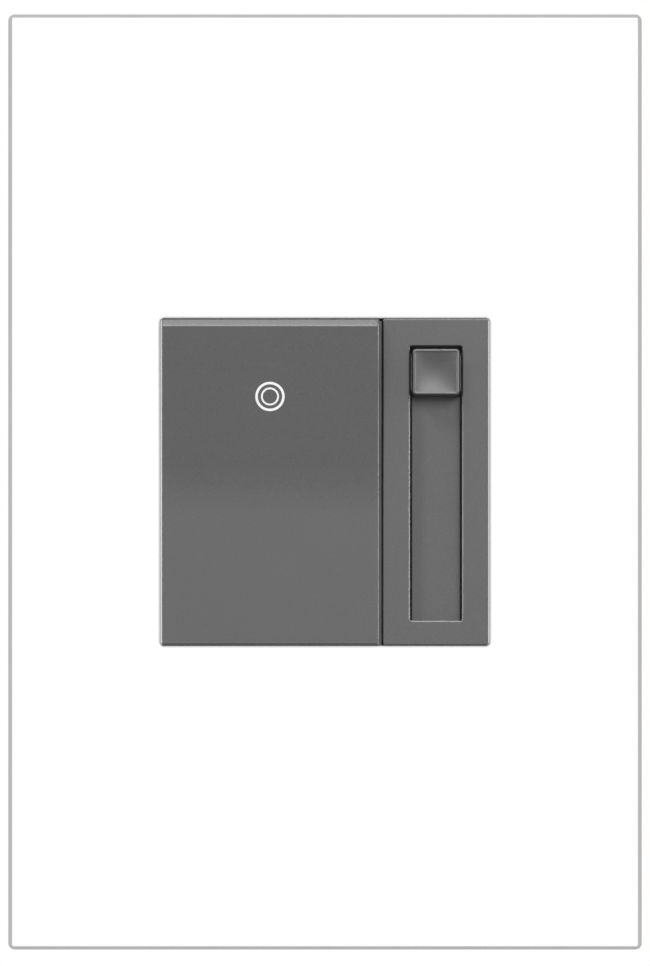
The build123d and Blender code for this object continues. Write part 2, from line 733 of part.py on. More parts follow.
def make_slider_knob():
    base = Plane(origin=(SLOT_X, KNOB_BASE_Y, KNOB_Z), x_dir=(1, 0, 0), z_dir=(0, -1, 0))
    face_at = (SLOT_X, KNOB_FACE_Y, KNOB_Z + KNOB_FACE_RISE)
    face = Plane(origin=face_at, x_dir=(1, 0, 0), z_dir=(0, -1, 0))
    low = base * RectangleRounded(KNOB_BASE, KNOB_BASE, KNOB_CORNER)
    high = face * RectangleRounded(*KNOB_FACE, KNOB_CORNER)
    knob = loft([low, high])
    knob = fillet(front_face(knob).edges(), KNOB_EDGE)
    ball_y = KNOB_FACE_Y + DISH_DEPTH - DISH_R
    knob -= Pos(SLOT_X, ball_y, KNOB_Z + KNOB_FACE_RISE) * Sphere(DISH_R)
    for leg in saddle_legs():
        knob -= leg
    return knob


def make_slider_carriage():
    _, y_cross, y_under = SADDLE_Y
    zs = (KNOB_Z - SADDLE_HALF_Z, KNOB_Z + SADDLE_HALF_Z)
    reach = SADDLE_LEG_X[1]
    saddle = block((SLOT_X - reach, SLOT_X + reach), (y_cross, y_under), zs)
    for leg in saddle_legs():
        saddle += leg
    half_x, half_z = BLADE_HALF
    xs = (SLOT_X - half_x, SLOT_X + half_x)
    return saddle + block(xs, (y_under, BLADE_TIP), (KNOB_Z - half_z, KNOB_Z + half_z))


# Slide potentiometer

def make_pot_shuttle():
    half_x, half_z = SHUTTLE_HALF
    shuttle = block((SLOT_X - half_x, SLOT_X + half_x), SHUTTLE_Y, (KNOB_Z - half_z, KNOB_Z + half_z))
    blade_x, blade_z = BLADE_HALF
    ys = (SHUTTLE_Y[0] - 1, BLADE_TIP)
    shuttle -= block((SLOT_X - blade_x, SLOT_X + blade_x), ys, (KNOB_Z - blade_z, KNOB_Z + blade_z))
    return shuttle


def make_pot_wiper():
    half_x, half_z = WIPER_HALF
    wiper = block((SLOT_X - half_x, SLOT_X + half_x), WIPER_Y, (KNOB_Z - half_z, KNOB_Z + half_z))
    for x in WIPER_FINGER_X:
        xs = (SLOT_X + x, SLOT_X + x + WIPER_FINGER_W)
        wiper += block(xs, (WIPER_Y[1], WIPER_TIP), (KNOB_Z + WIPER_FINGER_Z, KNOB_Z + half_z))
    return wiper


def make_pot_can():
    xs = (SLOT_X - POT_HALF_W, SLOT_X + POT_HALF_W)
    can = block(xs, POT_Y, POT_Z)
    xs = (xs[0] + POT_WALL, xs[1] - POT_WALL)
    zs = (POT_Z[0] + POT_WALL, POT_Z[1] - POT_WALL)
    can -= block(xs, (POT_Y[0] + POT_WALL, POT_Y[1] + 1), zs)
    spare = BLADE_HALF[1] + POT_SLOT_SPARE
    zs = (KNOB_Z - SLIDE_TRAVEL - spare, KNOB_Z + spare)
    can -= block((SLOT_X - POT_SLOT_HALF, SLOT_X + POT_SLOT_HALF), (POT_Y[0] - 1, POT_Y[0] + 1), zs)
    return can


def make_pot_board():
    xs = (SLOT_X - POT_HALF_W, SLOT_X + POT_HALF_W)
    board = block(xs, (POT_Y[1], BOARD_Y[0]), POT_Z)
    for x, z in POT_PIN_XZ:
        board -= rod(x, z, POT_PIN_R, POT_Y[1] - 1, BOARD_Y[0] + 1)
    return board


def make_pot_tracks():
    zs = (POT_Z[0] + CARBON_END, POT_Z[1] - CARBON_END)
    ys = (POT_Y[1] - CARBON_THICK, POT_Y[1])
    return [block((SLOT_X + a, SLOT_X + b), ys, zs) for a, b in TRACK_X]


def make_pot_pins():
    return [rod(x, z, POT_PIN_R, POT_Y[1], BOARD_Y[1] + PIN_TAIL) for x, z in POT_PIN_XZ]


# Push switch and locator light

def make_switch_housing():
    xs = (SWITCH_X - SWITCH_HALF, SWITCH_X + SWITCH_HALF)
    zs = (SWITCH_Z - SWITCH_HALF, SWITCH_Z + SWITCH_HALF)
    housing = block(xs, SWITCH_Y, zs)
    inner = SWITCH_HALF - SWITCH_WALL
    ys = (SWITCH_Y[0] + SWITCH_WALL, SWITCH_Y[1] - SWITCH_WALL)
    housing -= block((SWITCH_X - inner, SWITCH_X + inner), ys, (SWITCH_Z - inner, SWITCH_Z + inner))
    housing -= rod(SWITCH_X, SWITCH_Z, PLUNGER_R + PLUNGER_CLEAR, SWITCH_Y[0] - 1, SWITCH_Y[0] + 1)
    for s in (-1, 1):
        housing -= contact_bar(s, CONTACT_TAIL)
    return housing


def contact_bar(side, tail):
    half_x, half_z = CONTACT_HALF
    x = SWITCH_X + side * CONTACT_X
    return block((x - half_x, x + half_x), (CONTACT_FRONT, tail), (SWITCH_Z - half_z, SWITCH_Z + half_z))


def make_switch_plunger():
    stem = rod(SWITCH_X, SWITCH_Z, PLUNGER_R, PLUNGER_TIP, FLANGE_Y[0])
    stem = fillet(front_face(stem).edges(), PLUNGER_DOME)
    return stem + rod(SWITCH_X, SWITCH_Z, FLANGE_R, *FLANGE_Y)


def make_moving_contact():
    half_x, half_z = BRIDGE_HALF
    ys = (FLANGE_Y[1], FLANGE_Y[1] + BRIDGE_THICK)
    return block((SWITCH_X - half_x, SWITCH_X + half_x), ys, (SWITCH_Z - half_z, SWITCH_Z + half_z))


def make_fixed_contacts():
    return [contact_bar(s, CONTACT_TAIL) for s in (-1, 1)]


def make_switch_spring():
    y_front = FLANGE_Y[1] + BRIDGE_THICK
    y_back = SWITCH_Y[1] - SWITCH_WALL
    size = (SWITCH_SPRING_R, SWITCH_SPRING_WIRE)
    return coil(SWITCH_X, SWITCH_Z, *size, y_front, y_back, SWITCH_SPRING_TURNS)


def make_light_pipe():
    pipe = rod(ICON_X, ICON_Z, PIPE_R, *PIPE_Y)
    collar_r, collar_h = PIPE_COLLAR
    return pipe + rod(ICON_X, ICON_Z, collar_r, DECK_Y[0] - collar_h, DECK_Y[0])


def make_locator_led():
    half = LED_SIDE / 2
    xs = (ICON_X - half, ICON_X + half)
    return block(xs, (LED_FRONT, BOARD_Y[0]), (ICON_Z - half, ICON_Z + half))


# Board and power parts

def make_main_board():
    half_x, half_z = BOARD_HALF
    board = block((-half_x, half_x), BOARD_Y, (-half_z, half_z))
    for x, z in mirrored(*CASE_SCREW_XZ):
        board -= rod(x, z, BOARD_HOLE_R, BOARD_Y[0] - 1, BOARD_Y[1] + 1)
    for x, z in POT_PIN_XZ:
        board -= rod(x, z, POT_PIN_R + HOLE_CLEAR, BOARD_Y[0] - 1, BOARD_Y[1] + 1)
    for s in (-1, 1):
        board -= contact_bar(s, CONTACT_TAIL)
    for lead in make_triac_leads():
        board -= lead
    for x, z, _ in lead_places():
        board -= rod(x, z, LEAD_R, BOARD_Y[0] - 1, BOARD_Y[1] + 1)
    return board


def make_triac_tab():
    xs = (TRIAC_X - TRIAC_HALF_W, TRIAC_X + TRIAC_HALF_W)
    tab = block(xs, TRIAC_Y[:2], TRIAC_TAB_Z)
    return tab - rod(TRIAC_X, TRIAC_HOLE_Z, TRIAC_SCREW_R + TRIAC_HOLE_CLEAR, -1, TRIAC_Y[2])


def make_triac_body():
    xs = (TRIAC_X - TRIAC_HALF_W, TRIAC_X + TRIAC_HALF_W)
    return block(xs, TRIAC_Y[1:], (TRIAC_BODY_Z, TRIAC_TAB_Z[1]))


def make_triac_leads():
    z_body, z_bend, z_end = TRIAC_LEAD_Z
    tail = BOARD_Y[1] + PIN_TAIL
    leads = []
    for dx in TRIAC_LEAD_X:
        xs = (TRIAC_X + dx - TRIAC_LEAD_HALF, TRIAC_X + dx + TRIAC_LEAD_HALF)
        flat = block(xs, TRIAC_LEAD_Y, (z_body, z_end))
        leads.append(flat + block(xs, (TRIAC_LEAD_Y[0], tail), (z_bend, z_end)))
    return leads


def make_insulator_pad():
    reach = TRIAC_HALF_W + PAD_MARGIN
    zs = (TRIAC_TAB_Z[0] - PAD_MARGIN, TRIAC_TAB_Z[1] + PAD_MARGIN)
    pad = block((TRIAC_X - reach, TRIAC_X + reach), (0, TRIAC_Y[0]), zs)
    return pad - rod(TRIAC_X, TRIAC_HOLE_Z, TRIAC_SCREW_R + SCREW_CLEAR, -1, 1)


def make_triac_screw():
    return pan_screw_back(TRIAC_X, TRIAC_HOLE_Z, TRIAC_SCREW_R, TRIAC_HEAD, TRIAC_Y[1], -STRAP_THICK)


def make_choke_core():
    x, z = CHOKE_XZ
    core = rod(x, z, CHOKE_R[1], *CHOKE_Y)
    return core - rod(x, z, CHOKE_R[0], CHOKE_Y[0] - 1, CHOKE_Y[1] + 1)


def make_choke_winding():
    x, z = CHOKE_XZ
    w = CHOKE_WIRE
    y_front, y_back = CHOKE_Y
    turn = block((CHOKE_R[0] - w, CHOKE_R[1] + w), (y_front - w, y_back + w), (-w / 2, w / 2))
    inside = (CHOKE_R[0] - CHOKE_WIRE_GAP, CHOKE_R[1] + CHOKE_WIRE_GAP)
    turn -= block(inside, (y_front, y_back), (-w, w))
    step = 360 / CHOKE_TURNS
    return [Pos(x, 0, z) * Rot(0, i * step, 0) * turn for i in range(CHOKE_TURNS)]


def make_film_capacitor():
    body = block(*FILM_CAP)
    return fillet(body.edges(), CAP_EDGE)


def make_bulk_capacitor():
    x, z = BULK_CAP_XZ
    y_front, y_back = BULK_CAP_Y
    can = rod(x, z, BULK_CAP_R, y_front, y_back)
    can = fillet(can.faces().sort_by(Axis.Y)[-1].edges(), CAP_EDGE)
    low, high, deep = BULK_CAP_GROOVE
    groove = rod(x, z, BULK_CAP_R + 1, y_front + low, y_front + high)
    groove -= rod(x, z, BULK_CAP_R - deep, y_front, y_back)
    return can - groove


def make_fuse():
    z_low, z_high = FUSE_Z
    body = rod_z(FUSE_X, FUSE_Y, FUSE_R - FUSE_STEP, z_low + FUSE_CAP, z_high - FUSE_CAP)
    low = rod_z(FUSE_X, FUSE_Y, FUSE_R, z_low, z_low + FUSE_CAP)
    high = rod_z(FUSE_X, FUSE_Y, FUSE_R, z_high - FUSE_CAP, z_high)
    return [body, low, high]


def make_varistor():
    disc = rod_x(*VARISTOR_YZ, VARISTOR_R, *VARISTOR_X)
    return fillet(disc.edges(), VARISTOR_EDGE)


def make_control_chip():
    return block(*CHIP)


def make_chip_legs():
    xs, ys, zs = CHIP
    middle = (xs[0] + xs[1]) / 2
    y_board = BOARD_Y[1]
    legs = []
    for i in range(CHIP_LEGS):
        x = middle + (i - (CHIP_LEGS - 1) / 2) * CHIP_PITCH
        leg_xs = (x - CHIP_LEG_HALF, x + CHIP_LEG_HALF)
        for side, z in ((-1, zs[0]), (1, zs[1])):
            foot = block(leg_xs, (y_board, y_board + CHIP_LEG_FOOT), (z, z + side * CHIP_LEG))
            rise = block(leg_xs, (y_board, ys[0] + CHIP_LEG_RISE), (z, z + side * CHIP_LEG_THICK))
            legs.append(foot + rise)
    return legs


def make_resistors():
    bodies = []
    for x in RESISTOR_X:
        body = rod_z(x, RESISTOR_Y, RESISTOR_R, *RESISTOR_Z)
        bodies.append(fillet(body.edges(), RESISTOR_EDGE))
    return bodies


def lead_places():
    """Where wires enter the board, and how far back each one reaches."""
    cap_z = sum(FILM_CAP[2]) / 2
    places = [(x, cap_z, FILM_CAP[1][0]) for x in FILM_CAP_LEAD_X]
    bulk_x, bulk_z = BULK_CAP_XZ
    places += [(bulk_x + s * BULK_CAP_LEAD, bulk_z, BULK_CAP_Y[0]) for s in (-1, 1)]
    places += [(FUSE_X, z, FUSE_Y) for z in (FUSE_Z[0] - AXIAL_LEAD, FUSE_Z[1] + AXIAL_LEAD)]
    disc_x = sum(VARISTOR_X) / 2
    disc_front = VARISTOR_YZ[0] - VARISTOR_R
    places += [(disc_x, VARISTOR_YZ[1] + s * VARISTOR_LEAD, disc_front) for s in (-1, 1)]
    resistor_zs = (RESISTOR_Z[0] - AXIAL_LEAD, RESISTOR_Z[1] + AXIAL_LEAD)
    places += [(x, z, RESISTOR_Y) for x in RESISTOR_X for z in resistor_zs]
    choke_x, choke_z = CHOKE_XZ
    reach = (CHOKE_R[0] + CHOKE_R[1]) / 2
    places += [(choke_x + s * reach, choke_z, CHOKE_Y[0] - CHOKE_WIRE) for s in (-1, 1)]
    return places


def axial_tail(x, y, z_part, z_lead):
    """The short run from an axial part's end to its bend."""
    return rod_z(x, y, LEAD_R, min(z_part, z_lead), max(z_part, z_lead))


def make_component_leads():
    leads = []
    ends = {FUSE_X: (FUSE_Y, FUSE_Z)}
    for x in RESISTOR_X:
        ends[x] = (RESISTOR_Y, RESISTOR_Z)
    for x, z, y_back in lead_places():
        lead = rod(x, z, LEAD_R, BOARD_Y[0], y_back)
        if x in ends and y_back == ends[x][0]:
            y, (z_low, z_high) = ends[x]
            z_part = z_low if z < z_low else z_high
            lead += Pos(x, y, z) * Sphere(LEAD_R)
            lead += axial_tail(x, y, z_part, z)
        leads.append(lead)
    return leads


# Back cover and terminals

def make_back_cover():
    half_x, half_z = COVER_HALF
    cover = slab(RectangleRounded(2 * half_x, 2 * half_z, COVER_CORNER), 0, COVER_BACK)
    cover = fillet(cover.faces().sort_by(Axis.Y)[-1].edges(), COVER_EDGE)
    in_x = half_x - COVER_WALL
    in_z = half_z - COVER_WALL
    floor = COVER_BACK - COVER_WALL
    room = block((-in_x, in_x), (-1, floor), (-in_z, in_z))
    for x, z in mirrored(*CASE_SCREW_XZ):
        post = rod(x, z, POST_R, BOARD_Y[1], floor)
        rib_zs = (z - POST_RIB_HALF, z + POST_RIB_HALF)
        post += block((x, math.copysign(in_x, x)), (BOARD_Y[1], floor), rib_zs)
        room -= post
    for side, z in TERMINALS:
        room -= terminal_tower(side, z)
    cover -= room
    for side, z in TERMINALS:
        zs = (z - RECESS_HALF, z + RECESS_HALF)
        cover -= block((side * RECESS_FLOOR, side * (half_x + 1)), (RECESS_FRONT, COVER_BACK + 1), zs)
        cover -= terminal_plate(side, z)
        low, high = sorted((side * (TERMINAL_SCREW_X[0] - 1), side * half_x))
        cover -= rod_x(TERMINAL_SCREW_Y, z, TERMINAL_SCREW_R + THREAD_CLEAR, low, high)
    for x, z in mirrored(*CASE_SCREW_XZ):
        cover -= rod(x, z, POST_BORE_R, BOARD_Y[1] - 1, COVER_BACK + 1)
        cover -= rod(x, z, CASE_HEAD[0] + SCREW_CLEAR, COVER_BACK - CASE_HEAD[1], COVER_BACK + 1)
    return cover


def terminal_tower(side, z):
    """Walls round one wiring recess."""
    reach = RECESS_HALF + TOWER_WALL
    xs = (side * (RECESS_FLOOR - TOWER_WALL), side * COVER_HALF[0])
    ys = (RECESS_FRONT - TOWER_WALL, COVER_BACK)
    return block(xs, ys, (z - reach, z + reach))


def terminal_plate(side, z):
    thick, half_z, y_front, y_back = TERMINAL_PLATE
    xs = (side * RECESS_FLOOR, side * (RECESS_FLOOR + thick))
    plate = block(xs, (y_front, y_back), (z - half_z, z + half_z))
    return plate + block(xs, (BOARD_Y[1], y_front), (z - TONGUE_HALF, z + TONGUE_HALF))


def make_terminal_plates():
    plates = []
    for side, z in TERMINALS:
        low, high = sorted((side * (RECESS_FLOOR - 1), side * (RECESS_FLOOR + 2)))
        hole = rod_x(TERMINAL_SCREW_Y, z, TERMINAL_SCREW_R + THREAD_CLEAR, low, high)
        plates.append(terminal_plate(side, z) - hole)
    return plates


def make_terminal_screws():
    tip, seat, top = TERMINAL_SCREW_X
    screws = []
    for side, z in TERMINALS:
        head = (TERMINAL_HEAD_R, top - seat)
        screw = pan_screw(0, z, TERMINAL_SCREW_R, head, -seat, -tip)
        screws.append(Pos(0, TERMINAL_SCREW_Y, 0) * Rot(0, 0, 90 * side) * screw)
    return screws


def make_case_screws():
    seat = COVER_BACK - CASE_HEAD[1]
    tip = LEG_BOSS_FRONT + CASE_TIP_GAP
    return [pan_screw_back(x, z, CASE_SCREW_R, CASE_HEAD, seat, tip) for x, z in mirrored(*CASE_SCREW_XZ)]


PARTS = {
    "wall_plate": make_wall_plate,
    "plate_frame": make_plate_frame,
    "frame_screws": make_frame_screws,
    "mounting_strap": make_mounting_strap,
    "box_screws": make_box_screws,
    "screw_retainers": make_screw_retainers,
    "ground_screw": make_ground_screw,
    "chassis": make_chassis,
    "hinge_pin": make_hinge_pin,
    "paddle": make_paddle,
    "icon_lens": make_icon_lens,
    "icon_islands": make_icon_islands,
    "paddle_springs": make_paddle_springs,
    "slider_panel": make_slider_panel,
    "slider_track": make_slider_track,
    "slider_knob": make_slider_knob,
    "slider_carriage": make_slider_carriage,
    "pot_shuttle": make_pot_shuttle,
    "pot_wiper": make_pot_wiper,
    "pot_can": make_pot_can,
    "pot_board": make_pot_board,
    "pot_tracks": make_pot_tracks,
    "pot_pins": make_pot_pins,
    "switch_housing": make_switch_housing,
    "switch_plunger": make_switch_plunger,
    "moving_contact": make_moving_contact,
    "fixed_contacts": make_fixed_contacts,
    "switch_spring": make_switch_spring,
    "light_pipe": make_light_pipe,
    "locator_led": make_locator_led,
    "main_board": make_main_board,
    "triac_tab": make_triac_tab,
    "triac_body": make_triac_body,
    "triac_leads": make_triac_leads,
    "insulator_pad": make_insulator_pad,
    "triac_screw": make_triac_screw,
    "choke_core": make_choke_core,
    "choke_winding": make_choke_winding,
    "film_capacitor": make_film_capacitor,
    "bulk_capacitor": make_bulk_capacitor,
    "fuse": make_fuse,
    "varistor": make_varistor,
    "control_chip": make_control_chip,
    "chip_legs": make_chip_legs,
    "resistors": make_resistors,
    "component_leads": make_component_leads,
    "back_cover": make_back_cover,
    "terminal_plates": make_terminal_plates,
    "terminal_screws": make_terminal_screws,
    "case_screws": make_case_screws,
}


def main():
    os.makedirs("parts", exist_ok=True)
    for name, make in PARTS.items():
        shape = make()
        if isinstance(shape, list):
            shape = Compound(children=shape)
        export_step(shape, f"parts/{name}.step")


if __name__ == "__main__":
    main()
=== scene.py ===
import json
import math

import bpy
import numpy as np
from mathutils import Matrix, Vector

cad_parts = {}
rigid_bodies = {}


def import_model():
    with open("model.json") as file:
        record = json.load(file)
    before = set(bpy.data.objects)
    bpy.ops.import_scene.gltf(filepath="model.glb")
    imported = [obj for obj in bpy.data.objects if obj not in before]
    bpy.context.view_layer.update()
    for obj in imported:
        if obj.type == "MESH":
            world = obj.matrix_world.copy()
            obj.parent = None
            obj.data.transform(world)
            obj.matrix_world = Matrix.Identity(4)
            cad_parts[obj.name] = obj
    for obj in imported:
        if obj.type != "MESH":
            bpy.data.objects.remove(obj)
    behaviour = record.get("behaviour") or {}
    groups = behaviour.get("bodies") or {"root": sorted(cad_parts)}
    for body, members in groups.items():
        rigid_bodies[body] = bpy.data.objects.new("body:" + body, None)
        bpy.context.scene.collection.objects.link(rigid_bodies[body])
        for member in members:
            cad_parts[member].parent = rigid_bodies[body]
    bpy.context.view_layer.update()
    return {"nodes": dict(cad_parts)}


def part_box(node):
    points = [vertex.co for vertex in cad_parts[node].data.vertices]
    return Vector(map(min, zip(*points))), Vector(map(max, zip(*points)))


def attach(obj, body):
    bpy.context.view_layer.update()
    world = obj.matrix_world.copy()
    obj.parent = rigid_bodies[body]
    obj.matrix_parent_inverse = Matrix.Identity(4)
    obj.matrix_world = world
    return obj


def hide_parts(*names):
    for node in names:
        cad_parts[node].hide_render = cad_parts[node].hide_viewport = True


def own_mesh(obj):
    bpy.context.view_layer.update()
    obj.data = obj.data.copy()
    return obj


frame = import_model()
nodes = frame["nodes"]
mm = 0.001
print("dimmer frame loaded:", len(nodes), "pieces")


# an sRGB hex colour as linear light, by the sRGB curve
def linear(hexColour):
    parts = np.array([int(hexColour[i:i + 2], 16) for i in (1, 3, 5)]) / 255
    light = np.where(parts <= 0.04045, parts / 12.92, ((parts + 0.055) / 1.055) ** 2.4)
    return (*light.tolist(), 1.0)


# one node with its settings (attributes, or input values by name or number) and its incoming links
def addNode(tree, kind, settings=None, links=None):
    node = tree.nodes.new(kind)
    for key, value in (settings or {}).items():
        if isinstance(key, str) and hasattr(node, key):
            setattr(node, key, value)
        else:
            node.inputs[key].default_value = value
    for key, socket in (links or {}).items():
        tree.links.new(socket, node.inputs[key])
    return node


def startMaterial(name):
    material = bpy.data.materials.new(name)
    material.use_nodes = True
    material.node_tree.nodes.clear()
    return material, material.node_tree


# Object coordinates squeezed by stretch, then a noise whose blobs are size mm across
def speckle(tree, size, detail, stretch=(1, 1, 1)):
    place = addNode(tree, "ShaderNodeTexCoord")
    turn = addNode(tree, "ShaderNodeMapping", {"Scale": stretch}, {"Vector": place.outputs["Object"]})
    settings = {"Scale": 1 / (size * mm), "Detail": detail, "Roughness": 0.5}
    noise = addNode(tree, "ShaderNodeTexNoise", settings, {"Vector": turn.outputs[0]})
    return noise.outputs["Fac"]


# a value moved from 0.3..0.7, where noise mostly lies, to low..high
def spread(tree, value, low, high):
    settings = {"From Min": 0.3, "From Max": 0.7, "To Min": low, "To Max": high}
    return addNode(tree, "ShaderNodeMapRange", settings, {"Value": value}).outputs[0]


def blendColours(tree, amount, first, second):
    mix = addNode(tree, "ShaderNodeMix", {"data_type": "RGBA"}, {"Factor": amount})
    mix.inputs[6].default_value = linear(first)
    mix.inputs[7].default_value = linear(second)
    return mix.outputs[2]


# a material from its look: two close colours, a grain, a roughness range and a relief in mm
def makeFinish(name, look):
    material, tree = startMaterial(name)
    tone = speckle(tree, look["patch"], 3.0)
    grain = speckle(tree, look["grain"], 2.0, look.get("stretch", (1, 1, 1)))
    even = addNode(tree, "ShaderNodeMix", {"data_type": "FLOAT", "Factor": look.get("grainShare", 0.5)},
                   {2: tone, 3: grain}).outputs[0]
    colour = blendColours(tree, spread(tree, even, 0, 1), *look["colours"])
    rough = spread(tree, grain, *look["roughness"])
    bump = addNode(tree, "ShaderNodeBump", {"Strength": 1.0, "Distance": look["relief"] * mm},
                   {"Height": grain})
    settings = {"Metallic": look.get("metallic", 0.0)}
    settings.update(look.get("shader", {}))
    surface = addNode(tree, "ShaderNodeBsdfPrincipled", settings,
                      {"Base Color": colour, "Roughness": rough, "Normal": bump.outputs[0]})
    addNode(tree, "ShaderNodeOutputMaterial", links={"Surface": surface.outputs[0]})
    return material


# rings of points, rows by columns by 3, joined into a closed skin with a pole at each end.
# The signed volume, a sum of corner products, says whether the faces look out
def closedSkin(name, rings, material, sharpDegrees=40):
    rows, columns = rings.shape[:2]
    points = np.vstack([rings.reshape(-1, 3), rings[0].mean(0), rings[-1].mean(0)])
    index = np.arange(rows * columns).reshape(rows, columns)
    after = np.roll(index, -1, axis=1)
    quads = np.stack([index[:-1], index[1:], after[1:], after[:-1]], axis=-1).reshape(-1, 4)
    start, end = rows * columns, rows * columns + 1
    first = np.stack([np.full(columns, start), index[0], after[0]], axis=-1)
    last = np.stack([index[-1], np.full(columns, end), after[-1]], axis=-1)
    thirds = np.vstack([quads[:, :3], quads[:, [0, 2, 3]], first, last])
    corners = points[thirds] - points.mean(0)
    if np.einsum("ij,ij->i", corners[:, 0], np.cross(corners[:, 1], corners[:, 2])).sum() < 0:
        quads, first, last = quads[:, ::-1], first[:, ::-1], last[:, ::-1]
    mesh = bpy.data.meshes.new(name)
    mesh.from_pydata(points.tolist(), [], quads.tolist() + first.tolist() + last.tolist())
    return finishMesh(name, mesh, material, sharpDegrees)


# a round wire carried along a path: each ring lies across the path, measured from the outward direction
def carryWire(path, outward, radius, sides=12):
    along = np.gradient(path, axis=0)
    across = np.cross(along, outward)
    across /= np.linalg.norm(across, axis=1, keepdims=True)
    out = np.cross(across, along)
    out /= np.linalg.norm(out, axis=1, keepdims=True)
    turn = np.linspace(0, 2 * math.pi, sides, endpoint=False)[None, :, None]
    return path[:, None] + radius * (np.cos(turn) * out[:, None] + np.sin(turn) * across[:, None])


# a profile of (along, radius) rows turned about an axis through place
def turnProfile(profile, place, axis, across, columns=48):
    axis, across = np.array(axis, float), np.array(across, float)
    third = np.cross(axis, across)
    turn = np.linspace(0, 2 * math.pi, columns, endpoint=False)[None, :, None]
    spoke = np.cos(turn) * across + np.sin(turn) * third
    return np.array(place) + profile[:, 0, None, None] * axis + profile[:, 1, None, None] * spoke


# a node's box in mm
def cornersOf(node):
    low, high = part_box(node)
    return np.array(low) / mm, np.array(high) / mm


# a new piece takes a CAD node's place and body
def standFor(piece, node, body="housing"):
    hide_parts(node)
    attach(piece, body)
    return piece


def finishMesh(name, mesh, material, sharpDegrees):
    mesh.validate()
    mesh.shade_smooth()
    mesh.set_sharp_from_angle(angle=math.radians(sharpDegrees))
    mesh.materials.append(material)
    piece = bpy.data.objects.new(name, mesh)
    bpy.context.scene.collection.objects.link(piece)
    return piece


# several meshes' pieces made one piece
def joinPieces(name, parts):
    with bpy.context.temp_override(active_object=parts[0], selected_editable_objects=parts,
                                   selected_objects=parts):
        bpy.ops.object.join()
    parts[0].name = name
    return parts[0]


# Each finish starts from its real material. Sizes are mm: patch is the slow change of tone, grain the
# fine one, drawn no finer than shows, and relief the height of the grain's bump
finishes = {}

# graphite metallic lacquer sprayed on polycarbonate: a satin mid grey with a barely seen flake
graphitePaint = {"colours": ("#515151", "#585858"), "patch": 6.0, "grain": 0.22, "grainShare": 0.85,
                 "roughness": (0.40, 0.46), "relief": 0.0012, "metallic": 0.55, "shader": {"IOR": 1.5}}
finishes["face_paint"] = makeFinish("graphiteLacquer", graphitePaint)

# white painted wall plate: an even satin white, a touch of orange peel
whitePlate = {"colours": ("#eeeeee", "#f2f2f1"), "patch": 20.0, "grain": 0.5, "roughness": (0.42, 0.5),
              "relief": 0.0008, "shader": {"IOR": 1.5}}
finishes["plate_white"] = makeFinish("satinWhitePaint", whitePlate)

# moulded nylon snap frame, plain dark grey and matt
nylonFrame = {"colours": ("#58585b", "#646467"), "patch": 9.0, "grain": 0.4, "roughness": (0.5, 0.6),
              "relief": 0.006, "shader": {"IOR": 1.53, "Subsurface Weight": 0.05}}
finishes["frame_plastic"] = makeFinish("mouldedNylonFrame", nylonFrame)

# slot floor: the same lacquer over a moulded strip, a little more matt, and a shade lighter as painted
# light that brightens the recessed floor where it sits in shade
trackLacquerPaintedLight = dict(graphitePaint, colours=("#565656", "#5d5d5d"), roughness=(0.46, 0.52))
finishes["track_plastic"] = makeFinish("graphiteTrackPaintedLight", trackLacquerPaintedLight)

# the two rings: milk-white acrylic with a painted glow: a faint white emission makes them shine, with no
# lamp behind them
lensAcrylicPaintedGlow = {"colours": ("#bcbcbc", "#c2c2c2"), "patch": 3.0, "grain": 0.3, "roughness": (0.25, 0.3),
               "relief": 0.0005, "shader": {"IOR": 1.49, "Emission Strength": 0.12,
                                            "Emission Color": linear("#ffffff")}}
finishes["lens_white"] = makeFinish("milkAcrylicPaintedGlow", lensAcrylicPaintedGlow)

# black nylon 66 deck with a fine spark-eroded skin
blackNylon = {"colours": ("#161617", "#202122"), "patch": 8.0, "grain": 0.3, "roughness": (0.45, 0.6),
              "relief": 0.008, "shader": {"IOR": 1.53}}
finishes["black_plastic"] = makeFinish("blackNylon", blackNylon)

# back cover: dark grey thermoset with a spark-eroded skin
caseThermoset = {"colours": ("#26272a", "#303135"), "patch": 10.0, "grain": 0.35,
                 "roughness": (0.48, 0.62), "relief": 0.012, "shader": {"IOR": 1.55}}
finishes["case_plastic"] = makeFinish("caseThermoset", caseThermoset)

# natural nylon, moulded smooth: a creamy white that light enters a little way
naturalNylon = {"colours": ("#d8d2c0", "#e3decd"), "patch": 5.0, "grain": 0.3, "roughness": (0.35, 0.45),
                "relief": 0.003, "shader": {"IOR": 1.53, "Subsurface Weight": 0.1}}
finishes["nylon"] = makeFinish("naturalNylon", naturalNylon)

# vulcanised fibre, punched from sheet: a dull brick red with a grain along it
vulcanFibre = {"colours": ("#8d3b2c", "#9a4536"), "patch": 3.0, "grain": 0.25, "roughness": (0.6, 0.75),
               "relief": 0.006, "stretch": (1, 1, 4), "shader": {"IOR": 1.5}}
finishes["fibre"] = makeFinish("vulcanisedFibre", vulcanFibre)

# stamped aluminium strap, rolled along its length
stampedAluminium = {"colours": ("#b9babc", "#c7c8ca"), "patch": 14.0, "grain": 0.35,
                    "stretch": (1, 1, 0.03), "roughness": (0.28, 0.42), "relief": 0.004, "metallic": 1.0}
finishes["strap_alu"] = makeFinish("rolledAluminium", stampedAluminium)

# bright zinc on steel, from the plating bath: a cool grey shine, a little uneven
zincPlate = {"colours": ("#b4b7b9", "#c3c5c4"), "patch": 2.0, "grain": 0.15, "roughness": (0.22, 0.36),
             "relief": 0.002, "metallic": 1.0}
finishes["zinc_steel"] = makeFinish("brightZinc", zincPlate)

# dyed zinc on the earth screw: a metallic green, so that nobody mistakes it
greenDye = {"colours": ("#1f6b3c", "#2a7f49"), "patch": 1.5, "grain": 0.15, "roughness": (0.25, 0.4),
            "relief": 0.002, "metallic": 0.9}
finishes["green_steel"] = makeFinish("greenDyedZinc", greenDye)

